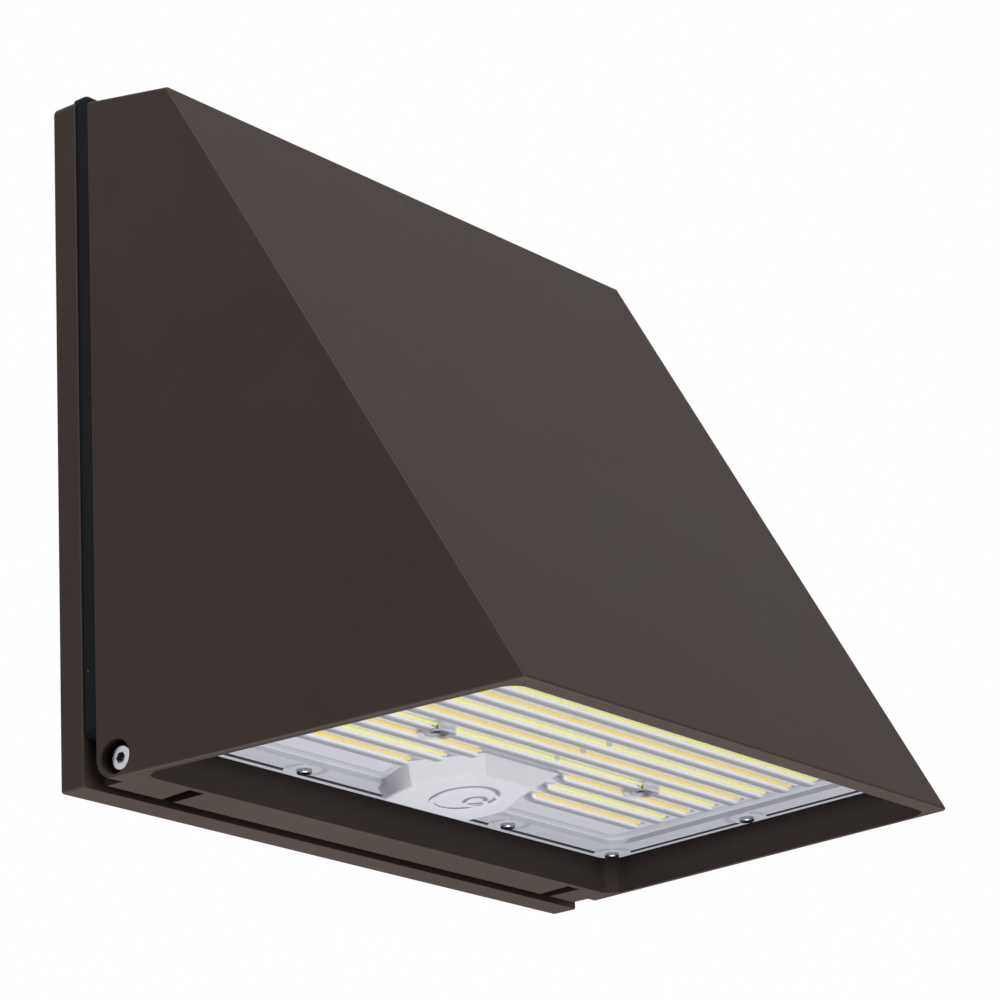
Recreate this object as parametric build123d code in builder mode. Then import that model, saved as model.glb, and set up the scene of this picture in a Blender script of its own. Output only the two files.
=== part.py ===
"""Wedge-shaped LED wall pack: a cast wall plate and a hinged cast housing with a downward lens.

Millimetres. +X is to the right seen from the front, +Y points into the wall and +Z is up.
The origin is the centre of the bolt pattern on the wall face of the back plate.
A depth is measured from the wall, so the point at depth d has y = -d.
A height is measured from the bottom rim of the housing.
"""

from build123d import *
import math
import os

# Outer shape of the housing
housing_width = 360.0
housing_height = 335.8
ridge_depth = 69.4
front_depth = 253.8
side_taper = 4.1
top_fall = 8.1
skin = 3.6
skin_edge_radius = 1.6
front_lip_radius = 1.2

# Back plate
plate_side_step = 1.5
plate_top_step = 2.7
plate_thickness = 14.2
plate_floor = 4.2
plate_top_radius = 4.0
plate_bottom_radius = 1.5
plate_back_edge_radius = 1.0
plate_front_chamfer = 0.5
gasket_land = 1.5
plate_pocket_radius = 5.0
rim_step = 1.5

# Housing gasket between plate and housing
gasket_gap = 7.0
gasket_width = 8.0
gasket_groove_depth = 1.2
gasket_round = 2.4
gasket_side_reach = 0.5
gasket_top_reach = 1.4
gasket_bottom_height = 22.5
gasket_corner_radius = 3.0
gasket_inner_radius = 1.5
gasket_seal_gap = 0.1

# Lens recess in the underside
recess_back_depth = 42.7
recess_wall = 3.2
recess_depth = 18.0
recess_side_wall = 4.0
recess_corner_radius = 10.0
lip_width = 8.8
lip_lean = 5.4

# Shelf above the lens
shelf_top_height = 30.0
board_pocket_height = 25.0

# Bottom strip, ears and slots at the rear of the rim
strip_thickness = 3.5
strip_back_depth = 18.5
strip_chamfer = 1.5
strip_side_gap = 8.0
channel_top_height = 22.0
slot_draft = 2.5
slot_inner_gap = 1.3
slot_back_reach = 2.0

# Hinge
hinge_depth = 32.0
hinge_height = 10.0
rear_corner_radius = 10.0
left_arm_inset = 47.2
right_arm_inset = 31.6
arm_thickness = 5.0
arm_nose_radius = 6.4
hinge_shank_diameter = 6.0
hinge_head_diameter = 12.4
hinge_head_height = 3.6
hinge_head_recess = 4.3
hinge_hex = 5.0
hinge_hex_depth = 2.4
hinge_head_round = 1.0
hinge_counterbore_diameter = 16.2
hinge_boss_diameter = 18.0
hinge_washer_thickness = 1.0
hinge_washer_diameter = 11.0

# Lens
lens_flange_thickness = 3.2
lens_flange_width = 17.0
field_height = 20.5
field_thickness = 1.9
field_wall = 2.0
lens_corner_radius = 9.4
rib_width = 10.0
rib_rise = 3.2
rib_bore_width = 7.0
rib_bore_rise = 1.9
rib_end_margin = 4.5
rib_end_wall = 1.5
rib_window_gap = 1.0
cup_diameter = 18.0
cup_bore_diameter = 11.0
cup_rise = 3.0
nub_length = 3.0
nub_width = 1.4
nub_rise = 2.6
nub_count = 3

# Lens gasket
seal_inset = 3.2
seal_width = 3.0
seal_depth = 2.6

# LED rows
row_pitch = 15.2
back_row_depth = 91.0
row_front_margin = 15.0
row_side_margin = 9.0
led_pitch = 5.3
led_length = 4.9
led_width = 5.0
led_thickness = 0.8
board_thickness = 1.6
board_side_margin = 4.0
board_back_margin = 2.7
board_front_margin = 4.0
board_corner_radius = 4.0
board_screw_outer_inset = 11.4
board_screw_inner_x = 40.0
connector_length = 7.0
connector_width = 5.0
connector_radius = 0.6
middle_connector_x = 10.5
side_connector_x = 74.0

# Sensor window: half widths and depths of its corners, at its base and at its face
window_back_half = 24.0
window_back_depth = 54.0
window_mid_half = 44.0
window_mid_depth = 90.0
window_front_half = 28.0
window_front_depth = 123.5
face_back_half = 31.0
face_back_depth = 64.0
face_mid_half = 34.0
face_mid_depth = 84.0
face_front_half = 17.0
face_front_depth = 115.0
face_back_height = 9.5
face_front_height = 13.4
window_wall = 1.8
window_edge_radius = 1.5

# Sensor module
sensor_depth = 88.0
sensor_body_diameter = 35.0
sensor_face_height = 17.5
sensor_eye_diameter = 9.0
sensor_eye_offset = 8.0
sensor_eye_seat = 0.8
sensor_eye_reach = 2.0
sensor_eye_flat = 0.1
sensor_base_width = 60.0
sensor_base_length = 44.0
sensor_base_thickness = 12.0
sensor_body_width = 40.0
sensor_ear_thickness = 3.0
sensor_ear_inset = 4.5
sensor_ear_share = 0.5
sensor_corner_radius = 4.0
sensor_top_round = 1.5
sensor_face_round = 1.2

# Screws: thread, head and length sizes
lens_screw_diameter = 4.0
lens_screw_head_diameter = 7.5
lens_screw_head_height = 2.0
lens_screw_length = 10.0
small_screw_diameter = 3.0
small_screw_head_diameter = 5.6
small_screw_head_height = 1.8
small_screw_length = 6.6
board_screw_head_height = 0.8
board_screw_length = 5.2
field_screw_length = 8.0
cross_recess_width = 0.9
cross_recess_share = 0.56
cross_depth_share = 0.55
head_round_share = 0.45

# Places of the lens screws: side offset and depth
rear_screw_x = 76.0
rear_screw_depth = 54.0
corner_screw_inset = 9.8
rear_corner_screw_depth = 52.2
side_screw_inset = 9.8
front_corner_screw_margin = 9.5
front_screw_margin = 11.0
field_screw_x = 77.5
field_screw_depth = 135.0

# Driver and its selectors
driver_length = 172.0
driver_width = 62.0
driver_height = 38.0
driver_x = -12.0
driver_gap = 12.0
driver_foot_length = 16.0
driver_foot_thickness = 2.5
driver_foot_step = 2.0
driver_foot_radius = 6.0
driver_pad_height = 4.0
driver_pad_step = 1.0
driver_edge_radius = 2.5
driver_screw_diameter = 4.0
driver_screw_head_diameter = 8.0
driver_screw_head_height = 2.6
driver_screw_length = 8.5
driver_screw_row_share = 0.36
selector_length = 17.0
selector_height = 8.5
selector_thickness = 4.0
selector_slot_height = 4.0
selector_knob_length = 4.0
selector_knob_reach = 1.8
selector_lip = 1.6
selector_cavity = 1.5
selector_shoe_overlap = 1.0
selector_travel = 3.0
selector_spacing = 40.0
selector_rise = 22.0

# Leads
lead_diameter = 2.4
lead_exit_height = 10.0
lead_bend_share = 0.45
led_lead_spacing = 6.0
sensor_lead_reach = 22.0
sensor_lead_drop = 4.0
grommet_collar_diameter = 16.0
grommet_hole_diameter = 13.0
grommet_collar = 1.5
grommet_board_margin = 12.0
supply_lead_spacing = 9.0
lead_insertion = 8.0

# Terminal block
terminal_length = 34.0
terminal_width = 20.0
terminal_height = 22.0
terminal_wire_diameter = 3.2
terminal_clamp_head_diameter = 5.0
terminal_clamp_diameter = 3.0
terminal_clamp_depth = 3.0
terminal_clamp_offset = 5.0
terminal_clamp_head_share = 0.7
terminal_clamp_slot_share = 0.65
terminal_chamfer = 3.0
terminal_foot = 9.0
terminal_foot_thickness = 3.0
terminal_front_depth = 100.0
terminal_side_gap = 10.0

# Closing screw, its boss, nut and the plate's lug
closing_depth = 30.0
closing_screw_diameter = 5.0
closing_head_diameter = 8.5
closing_head_height = 5.0
closing_head_round = 0.6
closing_hex = 4.0
closing_hex_depth = 2.5
closing_spot_diameter = 10.4
closing_spot_drop = 1.0
closing_seal_thickness = 1.0
closing_boss_diameter = 15.0
closing_nut_side = 10.0
closing_nut_height = 4.0
closing_nut_radius = 0.6
closing_screw_tail = 2.0
lug_width = 26.0
lug_thickness = 5.0
lug_front_depth = 37.0
lug_slot_width = 6.0
lug_drop = 4.0
gusset_thickness = 3.0
gusset_height = 14.0
gusset_front_step = 3.0
gusset_nose = 1.0

# Holes in the back plate
bolt_spacing_x = 280.0
bolt_spacing_z = 240.0
bolt_hole_diameter = 7.0
bolt_boss_diameter = 18.0
bolt_boss_height = 2.0
box_slot_spacing = 79.4
box_slot_length = 15.0
box_slot_width = 5.0
wire_hole_diameter = 22.3
bushing_bore_diameter = 14.0
bushing_collar_diameter = 28.0
bushing_collar_thickness = 2.0
wall_gasket_outer_diameter = 124.0
wall_gasket_inner_diameter = 104.0
wall_gasket_thickness = 2.0

# Earth screws
earth_screw_x = 62.0
earth_screw_z = -62.0
earth_boss_diameter = 11.0
earth_boss_height = 4.0
earth_head_width = 8.0
earth_head_height = 3.0
earth_washer_thickness = 0.9
earth_washer_rim = 0.8
earth_shank_length = 6.0
housing_earth_side_gap = 17.0
housing_earth_depth = 150.0

# Clearances
thread_gap = 0.05
pivot_gap = 0.05
seat_gap = 0.1
slide_gap = 0.2
lens_gap = 0.6
nut_gap = 0.3
hole_end_gap = 0.4
blind_hole_floor = 1.0

# Overlaps that let cuts and added bodies meet cleanly
cut_over = 1.0
boss_sink = 0.5
edge_tolerance = 0.01

# Sizes that follow
rear_depth = plate_thickness + gasket_gap
plate_width = housing_width + 2 * plate_side_step
plate_height = housing_height + plate_top_step + rim_step
strip_half_width = housing_width / 2 - strip_side_gap
left_arm_x = left_arm_inset - housing_width / 2
right_arm_x = housing_width / 2 - right_arm_inset
rim_z = rim_step - plate_height / 2
taper_tan = math.tan(math.radians(side_taper))
taper_cos = math.cos(math.radians(side_taper))
fall_tan = math.tan(math.radians(top_fall))
fall_cos = math.cos(math.radians(top_fall))
ridge_height = housing_height - (ridge_depth - rear_depth) * fall_tan
lean_tan = (front_depth - ridge_depth) / ridge_height
lean_cos = math.cos(math.atan(lean_tan))
flange_z = rim_z + recess_depth
land_z = flange_z + lens_flange_thickness
field_z = rim_z + field_height
pocket_z = rim_z + board_pocket_height
shelf_z = rim_z + shelf_top_height
recess_front_depth = front_depth - lip_width - lip_lean
lens_back_depth = recess_back_depth + lens_gap
lens_front_depth = recess_front_depth - lens_gap
board_back_depth = lens_back_depth + lens_flange_width + board_back_margin
board_front_depth = lens_front_depth - lens_flange_width - board_front_margin
board_z = pocket_z - board_thickness
led_z = board_z - led_thickness
hinge_z = rim_z + hinge_height
channel_depth = recess_back_depth - recess_wall


def half_width(depth, inset=0.0):
    """Half the housing's width at a depth, `inset` behind its side faces."""
    return housing_width / 2 - (depth - rear_depth) * taper_tan - inset / taper_cos


def inner_ridge(inset):
    """Depth and height of the ridge of a shell that lies `inset` under the top and the front."""
    top = housing_height - inset / fall_cos + rear_depth * fall_tan
    front = front_depth - inset / lean_cos
    depth = (front - lean_tan * top) / (1 - lean_tan * fall_tan)
    return depth, top - depth * fall_tan


def front_at(height, inset=0.0):
    """Depth of the sloping front at a height, `inset` behind its face."""
    return front_depth - inset / lean_cos - height * lean_tan


def top_at(depth, inset=0.0):
    """Height of the top face above the rim at a depth, `inset` under it."""
    return housing_height - inset / fall_cos - (depth - rear_depth) * fall_tan


def wedge(inset, back, low):
    """The wedge inside the skin at `inset`, from depth `back` forward and from height `low` up."""
    ridge_d, ridge_h = inner_ridge(inset)
    front = front_at(low, inset)
    with BuildPart() as body:
        with BuildSketch(Plane.YZ):
            with BuildLine():
                Polyline(
                    (-back, rim_z + low),
                    (-front, rim_z + low),
                    (-ridge_d, rim_z + ridge_h),
                    (-back, rim_z + top_at(back, inset)),
                    close=True,
                )
            make_face()
        extrude(amount=housing_width, both=True)
        with BuildSketch(Plane.XY.offset(rim_z + low)):
            with BuildLine():
                Polyline(
                    (-half_width(back, inset), -back),
                    (half_width(back, inset), -back),
                    (half_width(front, inset), -front),
                    (-half_width(front, inset), -front),
                    close=True,
                )
            make_face()
        extrude(amount=housing_height, mode=Mode.INTERSECT)
    return body.part


def tapered_outline(back, front, inset, corner):
    """Rounded sketch outline that follows the tapered sides at `inset`."""
    with BuildSketch() as outline:
        with BuildLine():
            Polyline(
                (-half_width(back, inset), -back),
                (half_width(back, inset), -back),
                (half_width(front, inset), -front),
                (-half_width(front, inset), -front),
                close=True,
            )
        make_face()
        fillet(outline.vertices(), corner)
    return outline.sketch


def lens_outline(inset, corner):
    """Outline of the lens, drawn in by `inset` all round."""
    return tapered_outline(
        lens_back_depth + inset,
        lens_front_depth - inset,
        recess_side_wall + lens_gap + inset,
        corner,
    )


def window_points(grow=0.0):
    """Corners of the sensor window's base, spread by `grow`, from the rear right, turning left."""
    right = [
        (window_back_half + grow, window_back_depth - grow),
        (window_mid_half + grow, window_mid_depth),
        (window_front_half + grow, window_front_depth + grow),
    ]
    left = [(-x, depth) for x, depth in reversed(right)]
    return [(x, -depth) for x, depth in right + left]


def face_points(grow=0.0):
    """Corners of the sensor window's face, seen in plan, spread by `grow`."""
    right = [
        (face_back_half + grow, face_back_depth - grow),
        (face_mid_half + grow, face_mid_depth),
        (face_front_half + grow, face_front_depth + grow),
    ]
    left = [(-x, depth) for x, depth in reversed(right)]
    return [(x, -depth) for x, depth in right + left]


def window_frustum(inset):
    """Six-sided frustum from the lens down to the tilted face, `inset` inside the outer one."""
    tilt = math.atan((face_front_height - face_back_height) / (face_front_depth - face_back_depth))
    face_plane = Plane(
        origin=(0, -face_back_depth, rim_z + face_back_height + inset),
        x_dir=(1, 0, 0),
        z_dir=(0, math.sin(tilt), math.cos(tilt)),
    )
    tilted = [(x, (y + face_back_depth) / math.cos(tilt)) for x, y in face_points(-inset)]
    with BuildPart() as frustum:
        with BuildSketch(Plane.XY.offset(field_z)):
            Polygon(*window_points(-inset), align=None)
        with BuildSketch(face_plane):
            Polygon(*tilted, align=None)
        loft(ruled=True)
    return frustum.part


def window_half_width(depth):
    """Half the window's width in the lens at a depth."""
    if depth >= window_front_depth or depth <= window_back_depth:
        return 0.0
    if depth >= window_mid_depth:
        share = (depth - window_mid_depth) / (window_front_depth - window_mid_depth)
        return window_mid_half + share * (window_front_half - window_mid_half)
    share = (window_mid_depth - depth) / (window_mid_depth - window_back_depth)
    return window_mid_half + share * (window_back_half - window_mid_half)


field_front_depth = lens_front_depth - lens_flange_width - field_wall
row_count = int((field_front_depth - row_front_margin - rib_width / 2 - back_row_depth) // row_pitch) + 1
row_depths = [back_row_depth + row_pitch * i for i in range(row_count)]
open_row_depths = [depth for depth in row_depths if depth > window_front_depth]
row_room = (
    half_width(row_depths[-1], recess_side_wall)
    - lens_gap
    - lens_flange_width
    - field_wall
    - row_side_margin
    - rib_end_margin
    - led_length / 2
)
leds_per_row = 2 * int(row_room // led_pitch) + 1
row_half_length = (leds_per_row - 1) * led_pitch / 2 + led_length / 2
rib_half_length = row_half_length + rib_end_margin
field_screw_places = [(-field_screw_x, -field_screw_depth), (field_screw_x, -field_screw_depth)]


def rim_screw_places():
    """Plan positions of the ten screws round the lens flange."""
    side_depth = (lens_back_depth + lens_front_depth) / 2
    corner_depth = lens_front_depth - front_corner_screw_margin
    right = [
        (rear_screw_x, rear_screw_depth),
        (half_width(rear_corner_screw_depth, recess_side_wall) - corner_screw_inset, rear_corner_screw_depth),
        (half_width(side_depth, recess_side_wall) - side_screw_inset, side_depth),
        (half_width(corner_depth, recess_side_wall) - corner_screw_inset, corner_depth),
        (rear_screw_x, lens_front_depth - front_screw_margin),
    ]
    return [(side * x, -depth) for side in (-1, 1) for x, depth in right]


def rib_spans(depth):
    """Left and right ends of the lens ribs in one row: one rib, or two beside the window."""
    gap = window_half_width(depth)
    if gap == 0.0:
        return [(-rib_half_length, rib_half_length)]
    return [(-rib_half_length, -gap - rib_window_gap), (gap + rib_window_gap, rib_half_length)]


def led_places(depth):
    """Plan positions of the LED packages of one row, clear of the window and the screw cups."""
    places = []
    gap = window_half_width(depth)
    cup_clear = (cup_diameter + led_length) / 2
    near_cup = abs(depth - field_screw_depth) < cup_diameter / 2
    for i in range(leds_per_row):
        x = (i - (leds_per_row - 1) / 2) * led_pitch
        beside_window = gap > 0 and abs(x) - led_length / 2 < gap + rib_end_margin
        in_cup = near_cup and abs(abs(x) - field_screw_x) < cup_clear
        if not beside_window and not in_cup:
            places.append((x, -depth))
    return places


def half_round(width, rise, low_z, left, right, depth, top_z):
    """Bar along X with domed ends, whose underside is an arc of `width` that drops `rise` below low_z."""
    radius = (width**2 / 4 + rise**2) / (2 * rise)
    half_turn = math.asin(width / 2 / radius) / 2
    middle = (radius * math.sin(half_turn), low_z - rise + radius * (1 - math.cos(half_turn)))
    ends = (left + width / 2, right - width / 2)
    with BuildPart() as bar:
        with BuildSketch(Plane.YZ.offset(ends[0])):
            with BuildLine():
                Polyline(
                    (-depth - width / 2, low_z),
                    (-depth - width / 2, top_z),
                    (-depth + width / 2, top_z),
                    (-depth + width / 2, low_z),
                )
                ThreePointArc(
                    (-depth + width / 2, low_z),
                    (-depth, low_z - rise),
                    (-depth - width / 2, low_z),
                )
            make_face()
        extrude(amount=ends[1] - ends[0])
        for x in ends:
            with BuildSketch(Plane(origin=(x, -depth, 0), x_dir=(1, 0, 0), z_dir=(0, -1, 0))):
                with BuildLine():
                    Polyline((0, low_z - rise), (0, top_z), (width / 2, top_z), (width / 2, low_z))
                    ThreePointArc((width / 2, low_z), middle, (0, low_z - rise))
                make_face()
            revolve(axis=Axis((x, -depth, 0), (0, 0, 1)))
    return bar.part


def pan_screws(places, seat_z, up, shank, head, head_height, length):
    """Pan-head screws at plan positions: heads under seat_z and shanks up, or the other way up."""
    with BuildPart() as screws:
        with BuildSketch(Plane.XY.offset(seat_z)):
            with Locations(*places):
                Circle(shank / 2)
        extrude(amount=length * up)
        with BuildSketch(Plane.XY.offset(seat_z)):
            with Locations(*places):
                Circle(head / 2)
        extrude(amount=-head_height * up)
        outer_z = seat_z - head_height * up
        rims = screws.edges().filter_by(GeomType.CIRCLE).filter_by(
            lambda e: abs(e.center().Z - outer_z) < edge_tolerance
        )
        fillet(rims, head_height * head_round_share)
        with BuildSketch(Plane.XY.offset(outer_z)):
            with Locations(*places):
                Rectangle(head * cross_recess_share, cross_recess_width)
                Rectangle(cross_recess_width, head * cross_recess_share)
        extrude(amount=head_height * cross_depth_share * up, mode=Mode.SUBTRACT)
    return screws.part


def write(part, name):
    """Label one sub-part and write it to its own STEP file."""
    part.label = name
    export_step(part, f"parts/{name}.step")


os.makedirs("parts", exist_ok=True)

# Front housing -------------------------------------------------------------------------------
arms = [(-1, left_arm_x), (1, right_arm_x)]
slot_back = strip_back_depth - slot_back_reach
slot_front = channel_depth - seat_gap
slot_outer_reach = arm_thickness / 2 + hinge_washer_thickness + seat_gap
slot_inner_reach = arm_thickness / 2 + slot_inner_gap
cavity = wedge(skin, rear_depth - cut_over, shelf_top_height)
recess_outline_z = rim_z - cut_over
counterbore_floor = housing_width / 2 - hinge_head_recess - hinge_head_height - seat_gap
closing_spot_z = rim_z + top_at(closing_depth + closing_spot_diameter / 2) - closing_spot_drop
lug_top_z = rim_z + top_at(closing_depth, skin) - lug_drop
closing_boss_z = lug_top_z + nut_gap
driver_back_depth = sensor_depth + sensor_base_length / 2 + driver_gap
driver_front_depth = driver_back_depth + driver_width
driver_mid_depth = (driver_back_depth + driver_front_depth) / 2
driver_left_x = driver_x - driver_length / 2
driver_right_x = driver_x + driver_length / 2
driver_z = shelf_z + driver_pad_height
driver_foot_x = driver_length / 2 + driver_foot_length / 2
driver_screw_places = [
    (driver_x + side * driver_foot_x, -driver_mid_depth + row * driver_width * driver_screw_row_share)
    for side in (-1, 1)
    for row in (-1, 1)
]
board_inset = recess_side_wall + lens_gap + lens_flange_width + board_side_margin
grommet_depth = board_front_depth - grommet_board_margin
grommet_x = (driver_right_x + half_width(grommet_depth, board_inset)) / 2
lead_z = driver_z + lead_exit_height
terminal_x = terminal_side_gap + terminal_length / 2 - half_width(terminal_front_depth, skin)
housing_earth_x = housing_earth_side_gap - half_width(housing_earth_depth, skin)
terminal_depth = terminal_front_depth - terminal_width / 2
sensor_screw_x = sensor_base_width / 2 - sensor_ear_inset
sensor_screw_places = [(-sensor_screw_x, -sensor_depth), (sensor_screw_x, -sensor_depth)]
terminal_screw_place = (terminal_x + terminal_length / 2 + terminal_foot / 2, -terminal_depth)
board_screw_outer_x = row_half_length - board_screw_outer_inset
board_screw_rows = [
    (board_screw_outer_x, row_depths[0] + row_pitch / 2),
    (board_screw_outer_x, row_depths[-1] - row_pitch / 2),
    (board_screw_inner_x, row_depths[-1] - row_pitch / 2),
    (board_screw_inner_x, open_row_depths[0] + row_pitch / 2),
]
board_screw_places = [(side * x, -depth) for side in (-1, 1) for x, depth in board_screw_rows]
connector_places = [
    (middle_connector_x, row_pitch / 2 - row_depths[-1]),
    (side_connector_x, -row_depths[-1] - row_pitch / 2),
]

with BuildPart() as recess_tool:
    with BuildSketch(Plane.YZ):
        with BuildLine():
            Polyline(
                (-recess_back_depth, recess_outline_z),
                (-recess_back_depth, land_z),
                (-recess_front_depth, land_z),
                (-recess_front_depth, flange_z),
                (-(front_depth - lip_width), recess_outline_z),
                close=True,
            )
        make_face()
    extrude(amount=housing_width, both=True)
    with BuildSketch(Plane.XY.offset(recess_outline_z)):
        add(
            tapered_outline(
                recess_back_depth, front_depth - lip_width, recess_side_wall, recess_corner_radius
            )
        )
    extrude(amount=recess_depth + lens_flange_thickness + cut_over, mode=Mode.INTERSECT)

with BuildPart() as front_housing:
    add(wedge(0.0, rear_depth, 0.0))
    lip_edge = front_housing.edges().filter_by(Axis.X).group_by(Axis.Z)[0].sort_by(Axis.Y)[0]
    fillet(lip_edge, front_lip_radius)
    skin_edges = front_housing.edges().filter_by(
        lambda e: e.center().Y < -rear_depth - cut_over and e.center().Z > rim_z + cut_over
    )
    fillet(skin_edges, skin_edge_radius)
    add(cavity, mode=Mode.SUBTRACT)
    add(recess_tool.part, mode=Mode.SUBTRACT)
    # pocket above the lens for the LED board and the sensor window's rim
    with BuildSketch(Plane.XY.offset(land_z - cut_over)):
        add(lens_outline(lens_flange_width - lens_gap, lens_corner_radius))
        Polygon(*window_points(lens_gap), align=None)
    extrude(amount=pocket_z - land_z + cut_over, mode=Mode.SUBTRACT)
    # groove for the lens gasket
    with BuildSketch(Plane.XY.offset(land_z - cut_over)):
        add(lens_outline(seal_inset, lens_corner_radius - seal_inset))
        add(
            lens_outline(seal_inset + seal_width, lens_corner_radius - seal_inset - seal_width),
            mode=Mode.SUBTRACT,
        )
    extrude(amount=seal_depth + cut_over, mode=Mode.SUBTRACT)
    # hollow rear channel under the sealing edge
    with BuildSketch(Plane.YZ):
        with BuildLine():
            Polyline(
                (-rear_depth + cut_over, rim_z + strip_thickness),
                (-rear_depth + cut_over, rim_z + channel_top_height),
                (-channel_depth, rim_z + channel_top_height),
                (-channel_depth, rim_z + strip_thickness),
                close=True,
            )
        make_face()
    extrude(amount=half_width(channel_depth, skin), both=True, mode=Mode.SUBTRACT)
    # bottom strip, a little nearer the wall than the sides, chamfered to clear the gasket
    with BuildSketch(Plane.YZ):
        with BuildLine():
            Polyline(
                (-rear_depth - cut_over, rim_z),
                (-strip_back_depth - strip_chamfer, rim_z),
                (-strip_back_depth, rim_z + strip_chamfer),
                (-strip_back_depth, rim_z + strip_thickness),
                (-rear_depth - cut_over, rim_z + strip_thickness),
                close=True,
            )
        make_face()
    extrude(amount=strip_half_width, both=True)
    # bosses that carry the hinge screws, from each side wall to its slot
    for side, arm_x in arms:
        boss_end = arm_x + side * slot_outer_reach
        wall_x = side * half_width(hinge_depth, skin / 2)
        with BuildSketch(Plane.YZ.offset(boss_end)):
            with Locations((-hinge_depth, hinge_z)):
                Circle(hinge_boss_diameter / 2)
        extrude(amount=wall_x - boss_end)
    # slots for the hinge arms, each with a slanting left end
    for side, arm_x in arms:
        left = arm_x - (slot_outer_reach if side < 0 else slot_inner_reach)
        right = arm_x + (slot_outer_reach if side > 0 else slot_inner_reach)
        with BuildSketch(Plane.XY.offset(rim_z - cut_over)):
            with BuildLine():
                Polyline(
                    (left, -slot_back),
                    (right, -slot_back),
                    (right, -slot_front),
                    (left - slot_draft, -slot_front),
                    close=True,
                )
            make_face()
        extrude(amount=strip_thickness + cut_over, mode=Mode.SUBTRACT)
    # hinge screw bores and counterbores
    for side, arm_x in arms:
        with BuildSketch(Plane.YZ.offset(arm_x)):
            with Locations((-hinge_depth, hinge_z)):
                Circle(hinge_shank_diameter / 2 + pivot_gap)
        extrude(amount=side * housing_width / 2 - arm_x, mode=Mode.SUBTRACT)
        with BuildSketch(Plane.YZ.offset(side * counterbore_floor)):
            with Locations((-hinge_depth, hinge_z)):
                Circle(hinge_counterbore_diameter / 2)
        extrude(amount=side * housing_width / 2, mode=Mode.SUBTRACT)
    # rear lower corner of each side, rounded about the hinge
    for side in (-1, 1):
        with BuildSketch(Plane.YZ.offset(side * strip_half_width)):
            with BuildLine():
                Polyline(
                    (-rear_depth, rim_z + rear_corner_radius),
                    (-rear_depth + cut_over, rim_z + rear_corner_radius),
                    (-rear_depth + cut_over, rim_z - cut_over),
                    (-rear_depth - rear_corner_radius, rim_z - cut_over),
                    (-rear_depth - rear_corner_radius, rim_z),
                )
                ThreePointArc(
                    (-rear_depth - rear_corner_radius, rim_z),
                    (
                        -rear_depth - rear_corner_radius * (1 - math.sqrt(0.5)),
                        rim_z + rear_corner_radius * (1 - math.sqrt(0.5)),
                    ),
                    (-rear_depth, rim_z + rear_corner_radius),
                )
            make_face()
        extrude(amount=side * (housing_width / 2 - strip_half_width + cut_over), mode=Mode.SUBTRACT)
    # boss, spot face and hole of the closing screw in the top
    with BuildSketch(Plane.XY.offset(closing_boss_z)):
        with Locations((0, -closing_depth)):
            Circle(closing_boss_diameter / 2)
    extrude(amount=rim_z + top_at(closing_depth, skin / 2) - closing_boss_z)
    with BuildSketch(Plane.XY.offset(closing_boss_z - cut_over)):
        with Locations((0, -closing_depth)):
            Circle(closing_screw_diameter / 2 + seat_gap)
    extrude(amount=housing_height, mode=Mode.SUBTRACT)
    with BuildSketch(Plane.XY.offset(closing_spot_z)):
        with Locations((0, -closing_depth)):
            Circle(closing_spot_diameter / 2)
    extrude(amount=housing_height, mode=Mode.SUBTRACT)
    # pads under the driver's feet
    with BuildSketch(Plane.XY.offset(shelf_z - boss_sink)):
        with Locations(*driver_screw_places):
            Circle(driver_foot_length / 2 - driver_pad_step)
    extrude(amount=driver_pad_height + boss_sink)
    # blind holes for the driver, terminal block and sensor screws
    with BuildSketch(Plane.XY.offset(driver_z)):
        with Locations(*driver_screw_places):
            Circle(driver_screw_diameter / 2 + thread_gap)
    extrude(amount=-(driver_screw_length - driver_foot_thickness + hole_end_gap), mode=Mode.SUBTRACT)
    with BuildSketch(Plane.XY.offset(shelf_z)):
        with Locations(*sensor_screw_places, terminal_screw_place):
            Circle(small_screw_diameter / 2 + thread_gap)
    extrude(amount=-(small_screw_length - sensor_ear_thickness + hole_end_gap), mode=Mode.SUBTRACT)
    # blind holes for the lens screws
    with BuildSketch(Plane.XY.offset(land_z)):
        with Locations(*rim_screw_places()):
            Circle(lens_screw_diameter / 2 + thread_gap)
    extrude(amount=lens_screw_length - lens_flange_thickness + hole_end_gap, mode=Mode.SUBTRACT)
    with BuildSketch(Plane.XY.offset(pocket_z)):
        with Locations(*field_screw_places):
            Circle(lens_screw_diameter / 2 + thread_gap)
        with Locations(*board_screw_places):
            Circle(small_screw_diameter / 2 + thread_gap)
    extrude(amount=shelf_z - pocket_z - blind_hole_floor, mode=Mode.SUBTRACT)
    # openings in the shelf for the sensor and for the LED leads
    with BuildSketch(Plane.XY.offset(pocket_z - cut_over)):
        with Locations((0, -sensor_depth)):
            Circle(sensor_body_diameter / 2 + seat_gap)
        with Locations((grommet_x, -grommet_depth)):
            Circle(grommet_hole_diameter / 2 + seat_gap)
    extrude(amount=shelf_z - pocket_z + 2 * cut_over, mode=Mode.SUBTRACT)
    # boss and hole of the earth screw
    with BuildSketch(Plane.XY.offset(shelf_z - boss_sink)):
        with Locations((housing_earth_x, -housing_earth_depth)):
            Circle(earth_boss_diameter / 2)
    extrude(amount=earth_boss_height + boss_sink)
    with BuildSketch(Plane.XY.offset(shelf_z + earth_boss_height)):
        with Locations((housing_earth_x, -housing_earth_depth)):
            Circle(lens_screw_diameter / 2 + thread_gap)
    extrude(amount=-(earth_shank_length + hole_end_gap), mode=Mode.SUBTRACT)
write(front_housing.part, "front_housing")

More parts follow.
